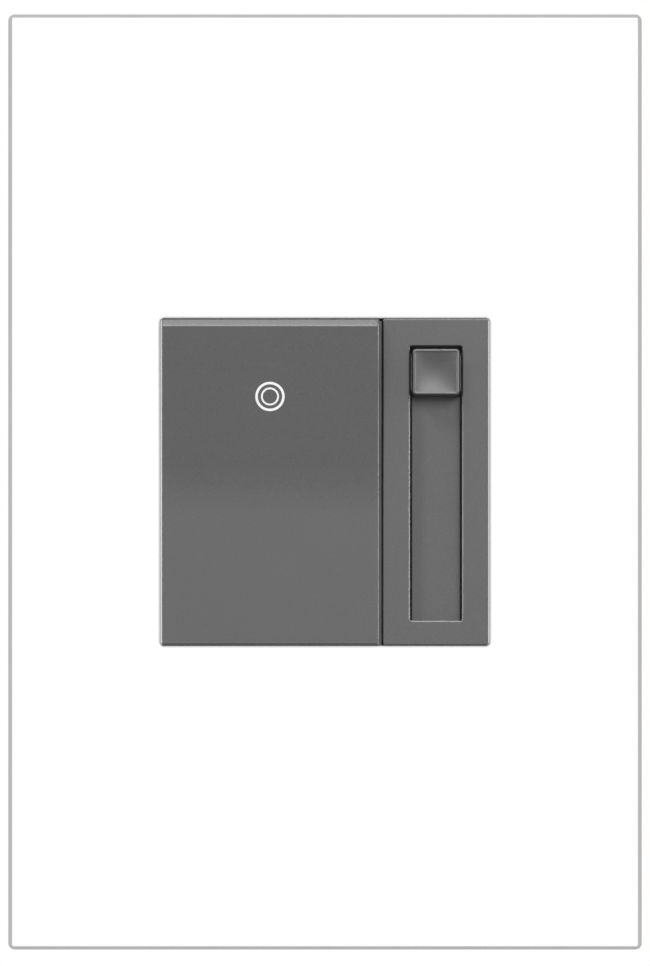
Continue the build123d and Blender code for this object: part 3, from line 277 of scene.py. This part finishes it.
# drawn spring wire and strip: a bright grey with fine draw lines
springWire = {"colours": ("#8f9091", "#a2a3a4"), "patch": 1.0, "grain": 0.08, "roughness": (0.2, 0.32),
              "relief": 0.001, "metallic": 1.0}
finishes["spring_steel"] = makeFinish("drawnSpringWire", springWire)

# hot tinned steel and leads: a warm silver, softer than zinc
tinPlate = {"colours": ("#c3c2bd", "#cfcec9"), "patch": 3.0, "grain": 0.2, "roughness": (0.25, 0.38),
            "relief": 0.002, "metallic": 1.0}
finishes["tinned"] = makeFinish("tinPlate", tinPlate)

# rolled brass, stamped: yellow and bright, brushed along the strip
stampedBrass = {"colours": ("#c9a252", "#d6b268"), "patch": 3.0, "grain": 0.2, "roughness": (0.22, 0.36),
                "relief": 0.002, "metallic": 1.0, "stretch": (1, 0.2, 1)}
finishes["brass"] = makeFinish("stampedBrass", stampedBrass)

# copper wire under clear enamel: orange metal with a wet-looking coat
enamelWire = {"colours": ("#a8582c", "#b96a39"), "patch": 2.0, "grain": 0.15, "roughness": (0.18, 0.28),
              "relief": 0.001, "metallic": 1.0, "shader": {"Coat Weight": 0.6}}
finishes["copper"] = makeFinish("enamelledCopper", enamelWire)

# iron powder core under a dipped coat: a chalky yellow skin, slightly pitted
ironPowder = {"colours": ("#d7c33a", "#e2cf4e"), "patch": 4.0, "grain": 0.25, "roughness": (0.4, 0.5),
              "relief": 0.01, "shader": {"IOR": 1.5}}
finishes["iron_powder"] = makeFinish("coatedIronPowder", ironPowder)

# paper phenolic sheet: a flat brown with faint fibres
phenolicSheet = {"colours": ("#8a5a30", "#9b683a"), "patch": 3.0, "grain": 0.3, "roughness": (0.45, 0.6),
                 "relief": 0.003, "stretch": (1, 1, 0.2), "shader": {"IOR": 1.58}}
finishes["phenolic"] = makeFinish("paperPhenolic", phenolicSheet)

# screen-printed carbon ink: near black, smooth where the wiper runs
carbonInk = {"colours": ("#17171a", "#222226"), "patch": 1.0, "grain": 0.1, "roughness": (0.35, 0.5),
             "relief": 0.002, "shader": {"IOR": 1.6}}
finishes["carbon"] = makeFinish("carbonInk", carbonInk)

# polished polycarbonate light guide: clear as glass
clearGuide = {"colours": ("#f4f6f7", "#ffffff"), "patch": 4.0, "grain": 0.4, "roughness": (0.04, 0.08),
                "relief": 0.0004, "shader": {"IOR": 1.58, "Transmission Weight": 0.95}}
finishes["clear"] = makeFinish("clearPolycarbonate", clearGuide)

# glass epoxy board under solder mask: deep green with a light gloss
solderMask = {"colours": ("#0f4a2c", "#17593a"), "patch": 2.0, "grain": 0.5, "roughness": (0.25, 0.35),
              "relief": 0.004, "shader": {"IOR": 1.55, "Coat Weight": 0.3}}
finishes["board_green"] = makeFinish("glassEpoxyBoard", solderMask)

# epoxy transfer-moulded round a chip: matt black
mouldedEpoxy = {"colours": ("#151515", "#1e1e1f"), "patch": 1.5, "grain": 0.15, "roughness": (0.5, 0.65),
                "relief": 0.006, "shader": {"IOR": 1.55}}
finishes["epoxy"] = makeFinish("mouldedEpoxy", mouldedEpoxy)

# ceramic-filled silicone sheet: a dull grey blue, rubbery
siliconePad = {"colours": ("#93a3ad", "#a0b0b9"), "patch": 2.0, "grain": 0.2, "roughness": (0.6, 0.75),
               "relief": 0.004, "shader": {"IOR": 1.41}}
finishes["silicone"] = makeFinish("filledSilicone", siliconePad)

# polyester capacitor shell, moulded: a warm yellow, half gloss
filmCapShell = {"colours": ("#c9a21f", "#d4ae2c"), "patch": 5.0, "grain": 0.35, "roughness": (0.35, 0.45),
                "relief": 0.003, "shader": {"IOR": 1.55}}
finishes["film_yellow"] = makeFinish("polyesterShell", filmCapShell)

# heat-shrunk sleeve over an aluminium can: a tight, glossy near black
shrinkSleeve = {"colours": ("#17181f", "#20222b"), "patch": 4.0, "grain": 0.3, "roughness": (0.22, 0.3),
                "relief": 0.003, "shader": {"IOR": 1.53}}
finishes["sleeve"] = makeFinish("shrinkSleeve", shrinkSleeve)

# nickel-plated fuse caps: a clean pale metal
fuseCap = {"colours": ("#bdbcb4", "#cbcac2"), "patch": 2.0, "grain": 0.2, "roughness": (0.2, 0.3),
           "relief": 0.001, "metallic": 1.0}
finishes["fuse_metal"] = makeFinish("nickelledFuseCap", fuseCap)

# epoxy dip, cured glossy: a strong blue, lumpy by a few microns
dippedBlue = {"colours": ("#1f4f9c", "#2a5cae"), "patch": 3.0, "grain": 0.4, "roughness": (0.3, 0.4),
              "relief": 0.006, "shader": {"IOR": 1.55}}
finishes["varistor_blue"] = makeFinish("dippedEpoxy", dippedBlue)

# baked resistor lacquer: a sandy beige, half gloss
resistorBody = {"colours": ("#c9ac7c", "#d2b78a"), "patch": 1.5, "grain": 0.2, "roughness": (0.35, 0.45),
                "relief": 0.003, "shader": {"IOR": 1.55}}
finishes["resistor_beige"] = makeFinish("resistorLacquer", resistorBody)

for node in nodes.values():
    for holder in node.material_slots:
        holder.material = finishes[holder.material.name]
print("finishes made:", len(finishes))


# Slider knob: face size, lift of the face, corner, bead round the face, dish depth, rings and steps
knobLook = {"face": (6.28, 6.24), "faceLift": 0.08, "corner": 0.42, "bead": 0.16, "beadFrom": -55,
            "dish": 0.34, "dishCorner": 0.2, "baseCorner": 0.5, "perSide": 20, "perCorner": 6,
            "dishRings": 24, "beadRings": 12, "skirt": (0.5, 0.96, 1.0)}


# a rounded rectangle: four quarter circles set at its corners, with even steps along the straights
def roundedOutline(halfWide, halfHigh, radius, perSide, perCorner):
    turn = np.linspace(0, math.pi / 2, perCorner)
    step = np.linspace(0, 1, perSide + 2)[1:-1, None]
    outline = []
    for quarter in range(4):
        side = np.array([[1, 1], [-1, 1], [-1, -1], [1, -1]][quarter])
        centre = side * (np.array([halfWide, halfHigh]) - radius)
        angle = turn + quarter * math.pi / 2
        outline.append(centre + radius * np.stack([np.cos(angle), np.sin(angle)], axis=-1))
    joined = []
    for quarter in range(4):
        here, there = outline[quarter][-1], outline[(quarter + 1) % 4][0]
        joined += [outline[quarter], here + (there - here) * step]
    return np.vstack(joined)


# rings from the dish's middle out: a dish of depth dish*(1-x2)(1-z2), with x and z from -1 to 1 across it,
# a rounded bead round the face and a straight skirt down to the base
def makeKnob(look):
    low, high = cornersOf("slider_knob")
    centre = (low + high) / 2
    front, back = low[1], high[1]
    halfFace = np.array(look["face"]) / 2
    halfBase = (high - low)[[0, 2]] / 2
    rings = []

    def ring(half, radius, lift, depth):
        flat = roundedOutline(half[0], half[1], radius, look["perSide"], look["perCorner"])
        depths = depth(flat) if callable(depth) else np.full(len(flat), depth)
        rings.append(np.stack([centre[0] + flat[:, 0], depths, centre[2] + lift + flat[:, 1]], axis=-1))

    bead = look["bead"]
    beadStart = math.radians(look["beadFrom"])
    inner = halfFace - bead * (1 - math.sin(beadStart))
    dishFront = front + bead * (1 - math.cos(beadStart))

    def dishDepth(flat):
        fall = 1 - (flat / inner) ** 2
        return dishFront + look["dish"] * fall[:, 0] * fall[:, 1]

    for share in np.linspace(0.04, 1, look["dishRings"]):
        ring(inner * share, look["dishCorner"] * share, look["faceLift"], dishDepth)
    for turn in np.linspace(beadStart, math.pi / 2, look["beadRings"])[1:]:
        grow = bead * (1 - math.sin(turn))
        depth = front + bead * (1 - math.cos(turn))
        ring(halfFace - grow, look["corner"] - grow * 0.8, look["faceLift"], depth)
    for share in look["skirt"]:
        half = halfFace + (halfBase - halfFace) * share
        ring(half, look["corner"] + (look["baseCorner"] - look["corner"]) * share,
             look["faceLift"] * (1 - share), front + bead + (back - front - bead) * share)
    ring(halfBase * 0.5, look["baseCorner"] * 0.5, 0, back)
    return closedSkin("slider_knob_moulding", np.array(rings) * mm, finishes["face_paint"], 50)


knob = standFor(makeKnob(knobLook), "slider_knob", "slider")
print("knob made")


# Screws: head (radius, height), neck (radius, length), shank radius, thread pitch and depth, the head's
# dome and edge, recess (arm, half width, depth) and the half width of a straight slot across it
boxScrew = {"head": (3.4, 2.0), "neck": (1.45, 2.4), "shank": 1.75, "pitch": 0.794,
            "threadDeep": 0.3, "dome": 0.45, "edge": 0.5, "recess": (1.75, 0.42, 1.15), "slot": 0.42}
caseScrew = {"head": (2.2, 1.4), "neck": (1.0, 0.6), "shank": 1.05, "pitch": 0.9,
             "threadDeep": 0.26, "dome": 0.3, "edge": 0.35, "recess": (1.15, 0.3, 0.85), "slot": 0.0}
frameScrew = {"head": (2.8, 1.6), "neck": (1.1, 0.5), "shank": 1.25, "pitch": 0.5,
              "threadDeep": 0.22, "dome": 0.35, "edge": 0.4, "recess": (1.4, 0.36, 0.95), "slot": 0.0}
groundScrew = {"head": (3.2, 1.8), "neck": (1.45, 0.5), "shank": 1.6, "pitch": 0.7,
               "threadDeep": 0.26, "dome": 0.35, "edge": 0.4, "recess": (1.6, 0.4, 1.05), "slot": 0.45}
terminalScrew = {"length": 4.8, "head": (3.3, 1.6), "neck": (1.5, 0.5), "shank": 1.7, "pitch": 0.794,
                 "threadDeep": 0.28, "dome": 0.3, "edge": 0.35, "recess": (1.65, 0.4, 0.95), "slot": 0.45}
tabScrew = {"head": (2.75, 1.8), "neck": (1.3, 0.5), "shank": 1.45, "pitch": 0.5,
            "threadDeep": 0.22, "dome": 0.35, "edge": 0.4, "recess": (1.4, 0.36, 0.95), "slot": 0.0}


# Shared by all screws: rows over the dome and the edge, points round, rows a thread turn, the tip's
# (length, two radii) in shank radii, the recess's taper and soft edges, the slot's depth and soft edges
screwShape = {"domeRows": 34, "edgeRows": 6, "columns": 72, "turnRows": 8, "tip": (0.35, 0.72, 0.3),
              "taper": 0.55, "armSoft": (0.75, 1.1), "endSoft": (0.93, 1.05), "slotDeep": 0.45,
              "slotSoft": (0.8, 1.15), "slotEnd": 0.9}


# steps smoothly from 0 to 1 as value goes from low to high
def ease(value, low, high):
    share = np.clip((value - low) / (high - low), 0, 1)
    return share * share * (3 - 2 * share)


# Rows run from the head's middle over its dome, edge and seat, down the neck and thread to the tip.
# The recess sinks the dome where a point is nearer than the arm's half width to one of two crossed
# lines; the thread takes a triangle wave of depth/pitch less the turn off the radius
def screwRings(look, top, length, axis, across):
    headR, headH = look["head"]
    neckR, neckLong = look["neck"]
    shankR, edge, dome = look["shank"], look["edge"], look["dome"]
    tipLong, tipWide, tipEnd = screwShape["tip"]
    flatR = headR - edge
    flat = np.linspace(0.02, 1, screwShape["domeRows"]) * flatR
    overEdge = np.linspace(0, math.pi / 2, screwShape["edgeRows"])[1:]
    neckEnd = headH + neckLong
    threadRows = np.arange(neckEnd, length - shankR * tipLong, look["pitch"] / screwShape["turnRows"])
    depth = np.concatenate([dome * (flat / flatR) ** 2, dome + edge * (1 - np.cos(overEdge)),
                            [headH] * 3, [neckEnd], threadRows, [length] * 2])
    radius = np.concatenate([flat, flatR + edge * np.sin(overEdge), [headR, neckR + 0.05, neckR, neckR],
                             np.full(len(threadRows), shankR), [shankR * tipWide, shankR * tipEnd]])
    onDome = np.arange(len(depth)) < len(flat)
    onThread = np.zeros(len(depth))
    onThread[-len(threadRows) - 2:-2] = ease(threadRows, neckEnd, neckEnd + look["pitch"])
    turn = np.linspace(0, 2 * math.pi, screwShape["columns"], endpoint=False)
    sideways, upward = np.outer(radius, np.cos(turn)), np.outer(radius, np.sin(turn))
    arm, half, deep = look["recess"]
    toLine = np.minimum(abs(sideways), abs(upward))
    taper = 1 - screwShape["taper"] * np.clip(radius / arm, 0, 1)[:, None]
    inArm = 1 - ease(toLine, *(half * soft for soft in screwShape["armSoft"]))
    beforeEnd = 1 - ease(radius, *(arm * soft for soft in screwShape["endSoft"]))
    sink = deep * taper * inArm * beforeEnd[:, None]
    if look["slot"]:
        inSlot = 1 - ease(abs(upward), *(look["slot"] * soft for soft in screwShape["slotSoft"]))
        onFlat = 1 - ease(radius, flatR * screwShape["slotEnd"], flatR)
        sink = np.maximum(sink, screwShape["slotDeep"] * deep * inSlot * onFlat[:, None])
    depths = depth[:, None] + sink * onDome[:, None]
    wave = np.abs(2 * np.mod(depth[:, None] / look["pitch"] - turn / (2 * math.pi), 1) - 1)
    radii = radius[:, None] - look["threadDeep"] * wave * onThread[:, None]
    axis, across = np.array(axis, float), np.array(across, float)
    third = np.cross(axis, across)
    return (np.array(top) + depths[..., None] * axis
            + radii[..., None] * (np.cos(turn)[:, None] * across + np.sin(turn)[:, None] * third))


# one piece from the screws of a node: their tops, one length and one axis each
def makeScrews(node, look, tops, length, axes, across, finish):
    parts = []
    for top, axis in zip(tops, axes):
        rings = screwRings(look, top, length, axis, across)
        parts.append(closedSkin(node + "_part", rings * mm, finishes[finish], 35))
    return standFor(joinPieces(node + "_turned", parts), node)


front, behind, up = (0, 1, 0), (0, -1, 0), (0, 0, 1)
low, high = cornersOf("box_screws")
reach = high[2] - boxScrew["head"][0]
makeScrews("box_screws", boxScrew, [(0, low[1], side * reach) for side in (-1, 1)], high[1] - low[1],
           [front] * 2, up, "zinc_steel")
low, high = cornersOf("frame_screws")
wide, tall = high[0] - frameScrew["head"][0], high[2] - frameScrew["head"][0]
fourSides = [(a, b) for a in (-1, 1) for b in (-1, 1)]
makeScrews("frame_screws", frameScrew, [(a * wide, low[1], b * tall) for a, b in fourSides],
           high[1] - low[1], [front] * 4, up, "zinc_steel")
low, high = cornersOf("case_screws")
wide, tall = high[0] - caseScrew["head"][0], high[2] - caseScrew["head"][0]
makeScrews("case_screws", caseScrew, [(a * wide, high[1], b * tall) for a, b in fourSides],
           high[1] - low[1], [behind] * 4, up, "zinc_steel")
low, high = cornersOf("ground_screw")
middle = (low + high) / 2
makeScrews("ground_screw", groundScrew, [(middle[0], high[1], middle[2])], high[1] - low[1],
           [behind], (0.8, 0, 0.6), "green_steel")
low, high = cornersOf("triac_screw")
middle = (low + high) / 2
makeScrews("triac_screw", tabScrew, [(middle[0], high[1], middle[2])], high[1] - low[1],
           [behind], up, "zinc_steel")
low, high = cornersOf("terminal_screws")
middle = (low + high) / 2
tall = high[2] - terminalScrew["head"][0]
terminals = [(-1, -tall), (-1, tall), (1, 0)]
terminalTops = [(side * high[0], middle[1], z) for side, z in terminals]
inward = [(-side, 0, 0) for side, _ in terminals]
slotTurn = math.radians(20)
makeScrews("terminal_screws", terminalScrew, terminalTops, terminalScrew["length"], inward,
           (0, math.cos(slotTurn), math.sin(slotTurn)), "zinc_steel")
print("screws made")


# Springs: coil and wire radius, turns, closed turns at each end, steps along the wire, and the share of
# its length that the spring keeps at full press
paddleSpring = {"radius": 1.7, "wire": 0.22, "turns": 5.5, "closed": 1.0, "steps": 420, "keep": 0.70}
switchSpring = {"radius": 1.15, "wire": 0.2, "turns": 4.5, "closed": 1.0, "steps": 360, "keep": 0.70}


# a helix whose climb slows to one wire a turn in the closed end turns, its ends then ground flat
def coilRings(look, x, z, front, back):
    share = np.linspace(0, 1, look["steps"])
    wire, closed = look["wire"], look["closed"] / look["turns"]
    long = back - front - 1.2 * wire
    rise = np.interp(share, [0, closed, 1 - closed, 1],
                     [0, 2 * wire * look["closed"], long - 2 * wire * look["closed"], long])
    turn = share * look["turns"] * 2 * math.pi
    outward = np.stack([np.cos(turn), np.zeros_like(turn), np.sin(turn)], axis=-1)
    start = np.array([x, front + 0.6 * wire, z])
    path = start + look["radius"] * outward + rise[:, None] * np.array([0, 1, 0])
    rings = carryWire(path, outward, wire)
    rings[..., 1] = np.clip(rings[..., 1], front, back)
    return rings


low, high = cornersOf("paddle_springs")
middle = (low + high) / 2
reach = paddleSpring["radius"] + paddleSpring["wire"]
parts = []
for x in (low[0] + reach, high[0] - reach):
    rings = coilRings(paddleSpring, x, middle[2], low[1], high[1])
    parts.append(closedSkin("spring", rings * mm, finishes["spring_steel"], 60))
paddleCoils = standFor(joinPieces("paddle_springs_coiled", parts), "paddle_springs")
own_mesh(paddleCoils)
low, high = cornersOf("switch_spring")
middle = (low + high) / 2
rings = coilRings(switchSpring, middle[0], middle[2], low[1], high[1])
switchCoil = closedSkin("switch_spring_coiled", rings * mm, finishes["spring_steel"], 60)
standFor(switchCoil, "switch_spring")
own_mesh(switchCoil)
print("springs made")


# Choke: wire radius, turns, steps a turn, half the bare gap in degrees, squareness of the section and
# the core's bore as a share of its outside
chokeWinding = {"wire": 0.45, "turns": 20, "steps": 32, "gap": 24, "square": 4.0, "bore": 5 / 9}


# a wire round a ring core: the section angle goes round once a turn while the core angle creeps on,
# and the section is a superellipse, so that the wire lies flat on the core's faces
def windingPath(look):
    low, high = cornersOf("choke_winding")
    coreLow, coreHigh = cornersOf("choke_core")
    centre = (coreLow + coreHigh) / 2
    outer = high[0] - centre[0] - look["wire"]
    halfDeep = (high[1] - low[1]) / 2 - look["wire"]
    inner = (coreHigh[0] - centre[0]) * look["bore"] - look["wire"]
    middleR, halfWide = (outer + inner) / 2, (outer - inner) / 2
    section = np.linspace(0, 2 * math.pi * look["turns"], look["turns"] * look["steps"])
    creep = np.radians(np.linspace(look["gap"], 360 - look["gap"], len(section))) + math.pi / 2
    power = look["square"]
    bend = (abs(np.cos(section)) ** power + abs(np.sin(section)) ** power) ** (-1 / power)
    radial = middleR + halfWide * bend * np.cos(section)
    deep = halfDeep * bend * np.sin(section)
    spoke = np.stack([np.cos(creep), np.zeros_like(creep), np.sin(creep)], axis=-1)
    path = centre + radial[:, None] * spoke + deep[:, None] * np.array([0, 1, 0])
    outward = np.cos(section)[:, None] * spoke + np.sin(section)[:, None] * np.array([0, 1, 0])
    return path, outward


windingLine, windingOut = windingPath(chokeWinding)
winding = closedSkin("choke_winding_wound", carryWire(windingLine, windingOut, chokeWinding["wire"]) * mm,
                     finishes["copper"], 60)
standFor(winding, "choke_winding")
print("choke wound")


# ends of a turned body rounded over: a quarter circle of (along, radius) rows at the start and its mirror
def roundedEnds(length, radius, rim, steps=9):
    turn = np.linspace(0, math.pi / 2, steps)
    start = np.stack([rim * (1 - np.cos(turn)), radius - rim * (1 - np.sin(turn))], axis=-1)
    return start, start[::-1] * [-1, 1] + [length, 0]


# Can capacitor: the crimp's (start, end) and depth, the rim's radius, the lip's width, the sunk end, rows
# along and columns round
capacitorLook = {"groove": (1.5, 2.3), "grooveDeep": 0.34, "rim": 0.55, "lip": 0.35, "sunk": 0.3,
                 "rows": 160, "columns": 96}


# sleeved can: straight side less a crimp shaped (1-cos)/2, a rounded rim, then a lip and a sunk end
def makeCapacitor(look):
    low, high = cornersOf("bulk_capacitor")
    centre, length, radius = (low + high) / 2, high[1] - low[1], (high[0] - low[0]) / 2
    rim = look["rim"]
    start, end = roundedEnds(length, radius, rim)
    along = np.linspace(rim, length - rim, look["rows"])[1:-1]
    grooveStart, grooveEnd = look["groove"]
    share = np.clip((along - grooveStart) / (grooveEnd - grooveStart), 0, 1)
    side = np.stack([along, radius - look["grooveDeep"] * (1 - np.cos(2 * math.pi * share)) / 2], axis=-1)
    inside = radius - rim - look["lip"]
    floor = length - look["sunk"]
    sunk = [(length, inside), (floor, inside - 0.1), (floor, inside * 0.4)]
    profile = np.vstack([[(0, radius * 0.5)], start, side, end, sunk])
    rings = turnProfile(profile, (centre[0], low[1], centre[2]), (0, 1, 0), (1, 0, 0), look["columns"])
    return closedSkin("bulk_capacitor_can", rings * mm, finishes["sleeve"], 50)


# Resistors: how many, the waist's depth and where it eases in, the ends' radius, rows, columns, and each
# colour band's start from the lower end with its colour
resistorLook = {"count": 3, "waist": 0.15, "shoulder": (1.2, 1.8), "rim": 0.4, "rows": 60, "columns": 40,
                "bandWide": 0.5, "bands": ((0.75, "#6b3413"), (2.15, "#161616"), (3.1, "#c24f17"),
                                           (5.2, "#a8842f"))}


# colour bands by height: a stepped ramp along Z whose alpha says where band paint covers the lacquer
def bandedLacquer(look, low, high):
    material = makeFinish("bandedResistor", resistorBody)
    tree = material.node_tree
    shader = next(node for node in tree.nodes if node.type == "BSDF_PRINCIPLED")
    body = shader.inputs["Base Color"].links[0].from_socket
    place = addNode(tree, "ShaderNodeTexCoord")
    parts = addNode(tree, "ShaderNodeSeparateXYZ", links={0: place.outputs["Object"]})
    share = addNode(tree, "ShaderNodeMapRange", {"From Min": low * mm, "From Max": high * mm},
                    {"Value": parts.outputs["Z"]})
    ramp = addNode(tree, "ShaderNodeValToRGB", links={0: share.outputs[0]})
    stops = ramp.color_ramp
    stops.interpolation = "CONSTANT"
    stops.elements.remove(stops.elements[1])
    stops.elements[0].color = (0, 0, 0, 0)
    for start, hexColour in look["bands"]:
        stops.elements.new(start / (high - low)).color = linear(hexColour)
        stops.elements.new((start + look["bandWide"]) / (high - low)).color = (0, 0, 0, 0)
    mixed = addNode(tree, "ShaderNodeMix", {"data_type": "RGBA"})
    tree.links.new(ramp.outputs["Alpha"], mixed.inputs[0])
    tree.links.new(body, mixed.inputs[6])
    tree.links.new(ramp.outputs["Color"], mixed.inputs[7])
    tree.links.new(mixed.outputs[2], shader.inputs["Base Color"])
    return material


# dog-bone bodies: the radius eases down by the waist between the two end caps
def makeResistors(look, places):
    low, high = cornersOf("resistors")
    length, radius = high[2] - low[2], (high[1] - low[1]) / 2
    start, end = roundedEnds(length, radius, look["rim"])
    along = np.linspace(look["rim"], length - look["rim"], look["rows"])[1:-1]
    first, last = look["shoulder"]
    narrow = ease(np.minimum(along, length - along), first, last)
    side = np.stack([along, radius - look["waist"] * narrow], axis=-1)
    profile = np.vstack([[(0, radius * 0.3)], start, side, end, [(length, radius * 0.3)]])
    paint = bandedLacquer(look, low[2], high[2])
    parts = []
    for x in places:
        foot = (x, (low[1] + high[1]) / 2, low[2])
        rings = turnProfile(profile, foot, (0, 0, 1), (1, 0, 0), look["columns"])
        parts.append(closedSkin("resistor", rings * mm, paint, 50))
    return joinPieces("resistors_banded", parts)


varistorLook = {"power": 2.6, "rows": 40, "columns": 96}


# dipped disc: radius R*(1-|u|^p)^(1/p) across its thickness, u from -1 to 1
def makeVaristor(look):
    low, high = cornersOf("varistor")
    centre, thick, radius = (low + high) / 2, high[0] - low[0], (high[2] - low[2]) / 2
    across = -np.cos(np.linspace(0.08, math.pi - 0.08, look["rows"]))
    wide = radius * (1 - np.abs(across) ** look["power"]) ** (1 / look["power"])
    profile = np.stack([(across + 1) / 2 * thick, wide], axis=-1)
    rings = turnProfile(profile, (low[0], centre[1], centre[2]), (1, 0, 0), (0, 1, 0), look["columns"])
    return closedSkin("varistor_dipped", rings * mm, finishes["varistor_blue"], 60)


low, high = cornersOf("resistors")
reach = (high[1] - low[1]) / 2
places = np.linspace(low[0] + reach, high[0] - reach, resistorLook["count"])
standFor(makeCapacitor(capacitorLook), "bulk_capacitor")
standFor(makeResistors(resistorLook, places), "resistors")
standFor(makeVaristor(varistorLook), "varistor")
print("circuit parts made")


# Studio: camera lens and sensor, the height that it frames and its aim, the sky's light on the object,
# the floor's drop below the part and how far it runs back
studio = {"lens": 600, "sensor": 36, "frameHigh": 134.0, "aim": (0.0, -0.14), "faceDepth": -8.4,
          "skyLight": 0.49, "floorDrop": 190, "floorBack": 1550, "floorHalf": 3000}

world = bpy.data.worlds.new("studioWorld")
bpy.context.scene.world = world
world.use_nodes = True
world.node_tree.nodes.clear()
seen = addNode(world.node_tree, "ShaderNodeLightPath")
level = addNode(world.node_tree, "ShaderNodeMapRange", {"To Min": studio["skyLight"], "To Max": 1.0},
                {"Value": seen.outputs["Is Camera Ray"]})
sky = addNode(world.node_tree, "ShaderNodeBackground", links={"Strength": level.outputs[0]})
sky.inputs[0].default_value = linear("#ffffff")
addNode(world.node_tree, "ShaderNodeOutputWorld", links={"Surface": sky.outputs[0]})

floorPaper = {"colours": ("#f3f3f2", "#f7f7f6"), "patch": 90.0, "grain": 1.5, "roughness": (0.7, 0.8),
              "relief": 0.01}
half, back = studio["floorHalf"] * mm, studio["floorBack"] * mm
under = -studio["floorDrop"] * mm
floorCorners = [(-half, -half, under), (half, -half, under), (half, back, under), (-half, back, under)]
floorMesh = bpy.data.meshes.new("studio_floor")
floorMesh.from_pydata(floorCorners, [], [(0, 1, 2, 3)])
floor = finishMesh("studio_floor", floorMesh, makeFinish("palePaper", floorPaper), 40)
floor.visible_diffuse = False
floor.visible_glossy = False


# name: size in m, power in W, azimuth and elevation in degrees, distance in m, and which pieces it lights
softboxes = {
    "plateBox": ((1.6, 1.2), 78, 0, 5, 3.2, "surround"),
    "faceBox": ((1.2, 0.9), 26.4, 14, 24, 2.0, "device"),
    "keyBox": ((0.35, 0.35), 14, -46, 44, 1.6, "device"),
    "leftStrip": ((0.6, 1.2), 26, -85, 5, 1.4, "device"),
    "rightStrip": ((0.6, 1.2), 37, 85, 8, 1.4, "device"),
    "topStrip": ((1.2, 0.4), 30, 0, 86, 1.4, "device"),
}
deviceNodes = ("paddle", "slider_panel", "slider_track", "slider_carriage", "icon_lens", "icon_islands")
devicePieces = [nodes[name] for name in deviceNodes] + [knob]
deviceSet = bpy.data.collections.new("deviceSet")
surroundSet = bpy.data.collections.new("surroundSet")
for piece in bpy.context.scene.objects:
    if piece.type == "MESH":
        (deviceSet if piece in devicePieces else surroundSet).objects.link(piece)


def hangSoftbox(name, size, power, azimuth, elevation, distance, lights):
    lamp = bpy.data.lights.new(name, "AREA")
    lamp.shape = "RECTANGLE"
    lamp.size, lamp.size_y = size
    lamp.energy = power
    box = bpy.data.objects.new(name, lamp)
    bpy.context.scene.collection.objects.link(box)
    turn, rise = math.radians(azimuth), math.radians(elevation)
    away = Vector((math.sin(turn) * math.cos(rise), -math.cos(turn) * math.cos(rise), math.sin(rise)))
    box.location = away * distance
    box.rotation_mode = "QUATERNION"
    box.rotation_quaternion = away.to_track_quat("Z", "Y")
    box.light_linking.receiver_collection = deviceSet if lights == "device" else surroundSet


for name, row in softboxes.items():
    hangSoftbox(name, *row)

lens = bpy.data.cameras.new("frontCamera")
lens.type = "PERSP"
lens.lens = studio["lens"]
lens.sensor_width = studio["sensor"]
camera = bpy.data.objects.new("frontCamera", lens)
bpy.context.scene.collection.objects.link(camera)
distance = studio["frameHigh"] / 2 * studio["lens"] / (studio["sensor"] / 2)
camera.location = (studio["aim"][0] * mm, (studio["faceDepth"] - distance) * mm, studio["aim"][1] * mm)
camera.rotation_euler = (math.pi / 2, 0, 0)
lens.clip_start, lens.clip_end = 0.05, 30
bpy.context.scene.camera = camera
bpy.context.scene.view_settings.view_transform = "Standard"
print("studio set")
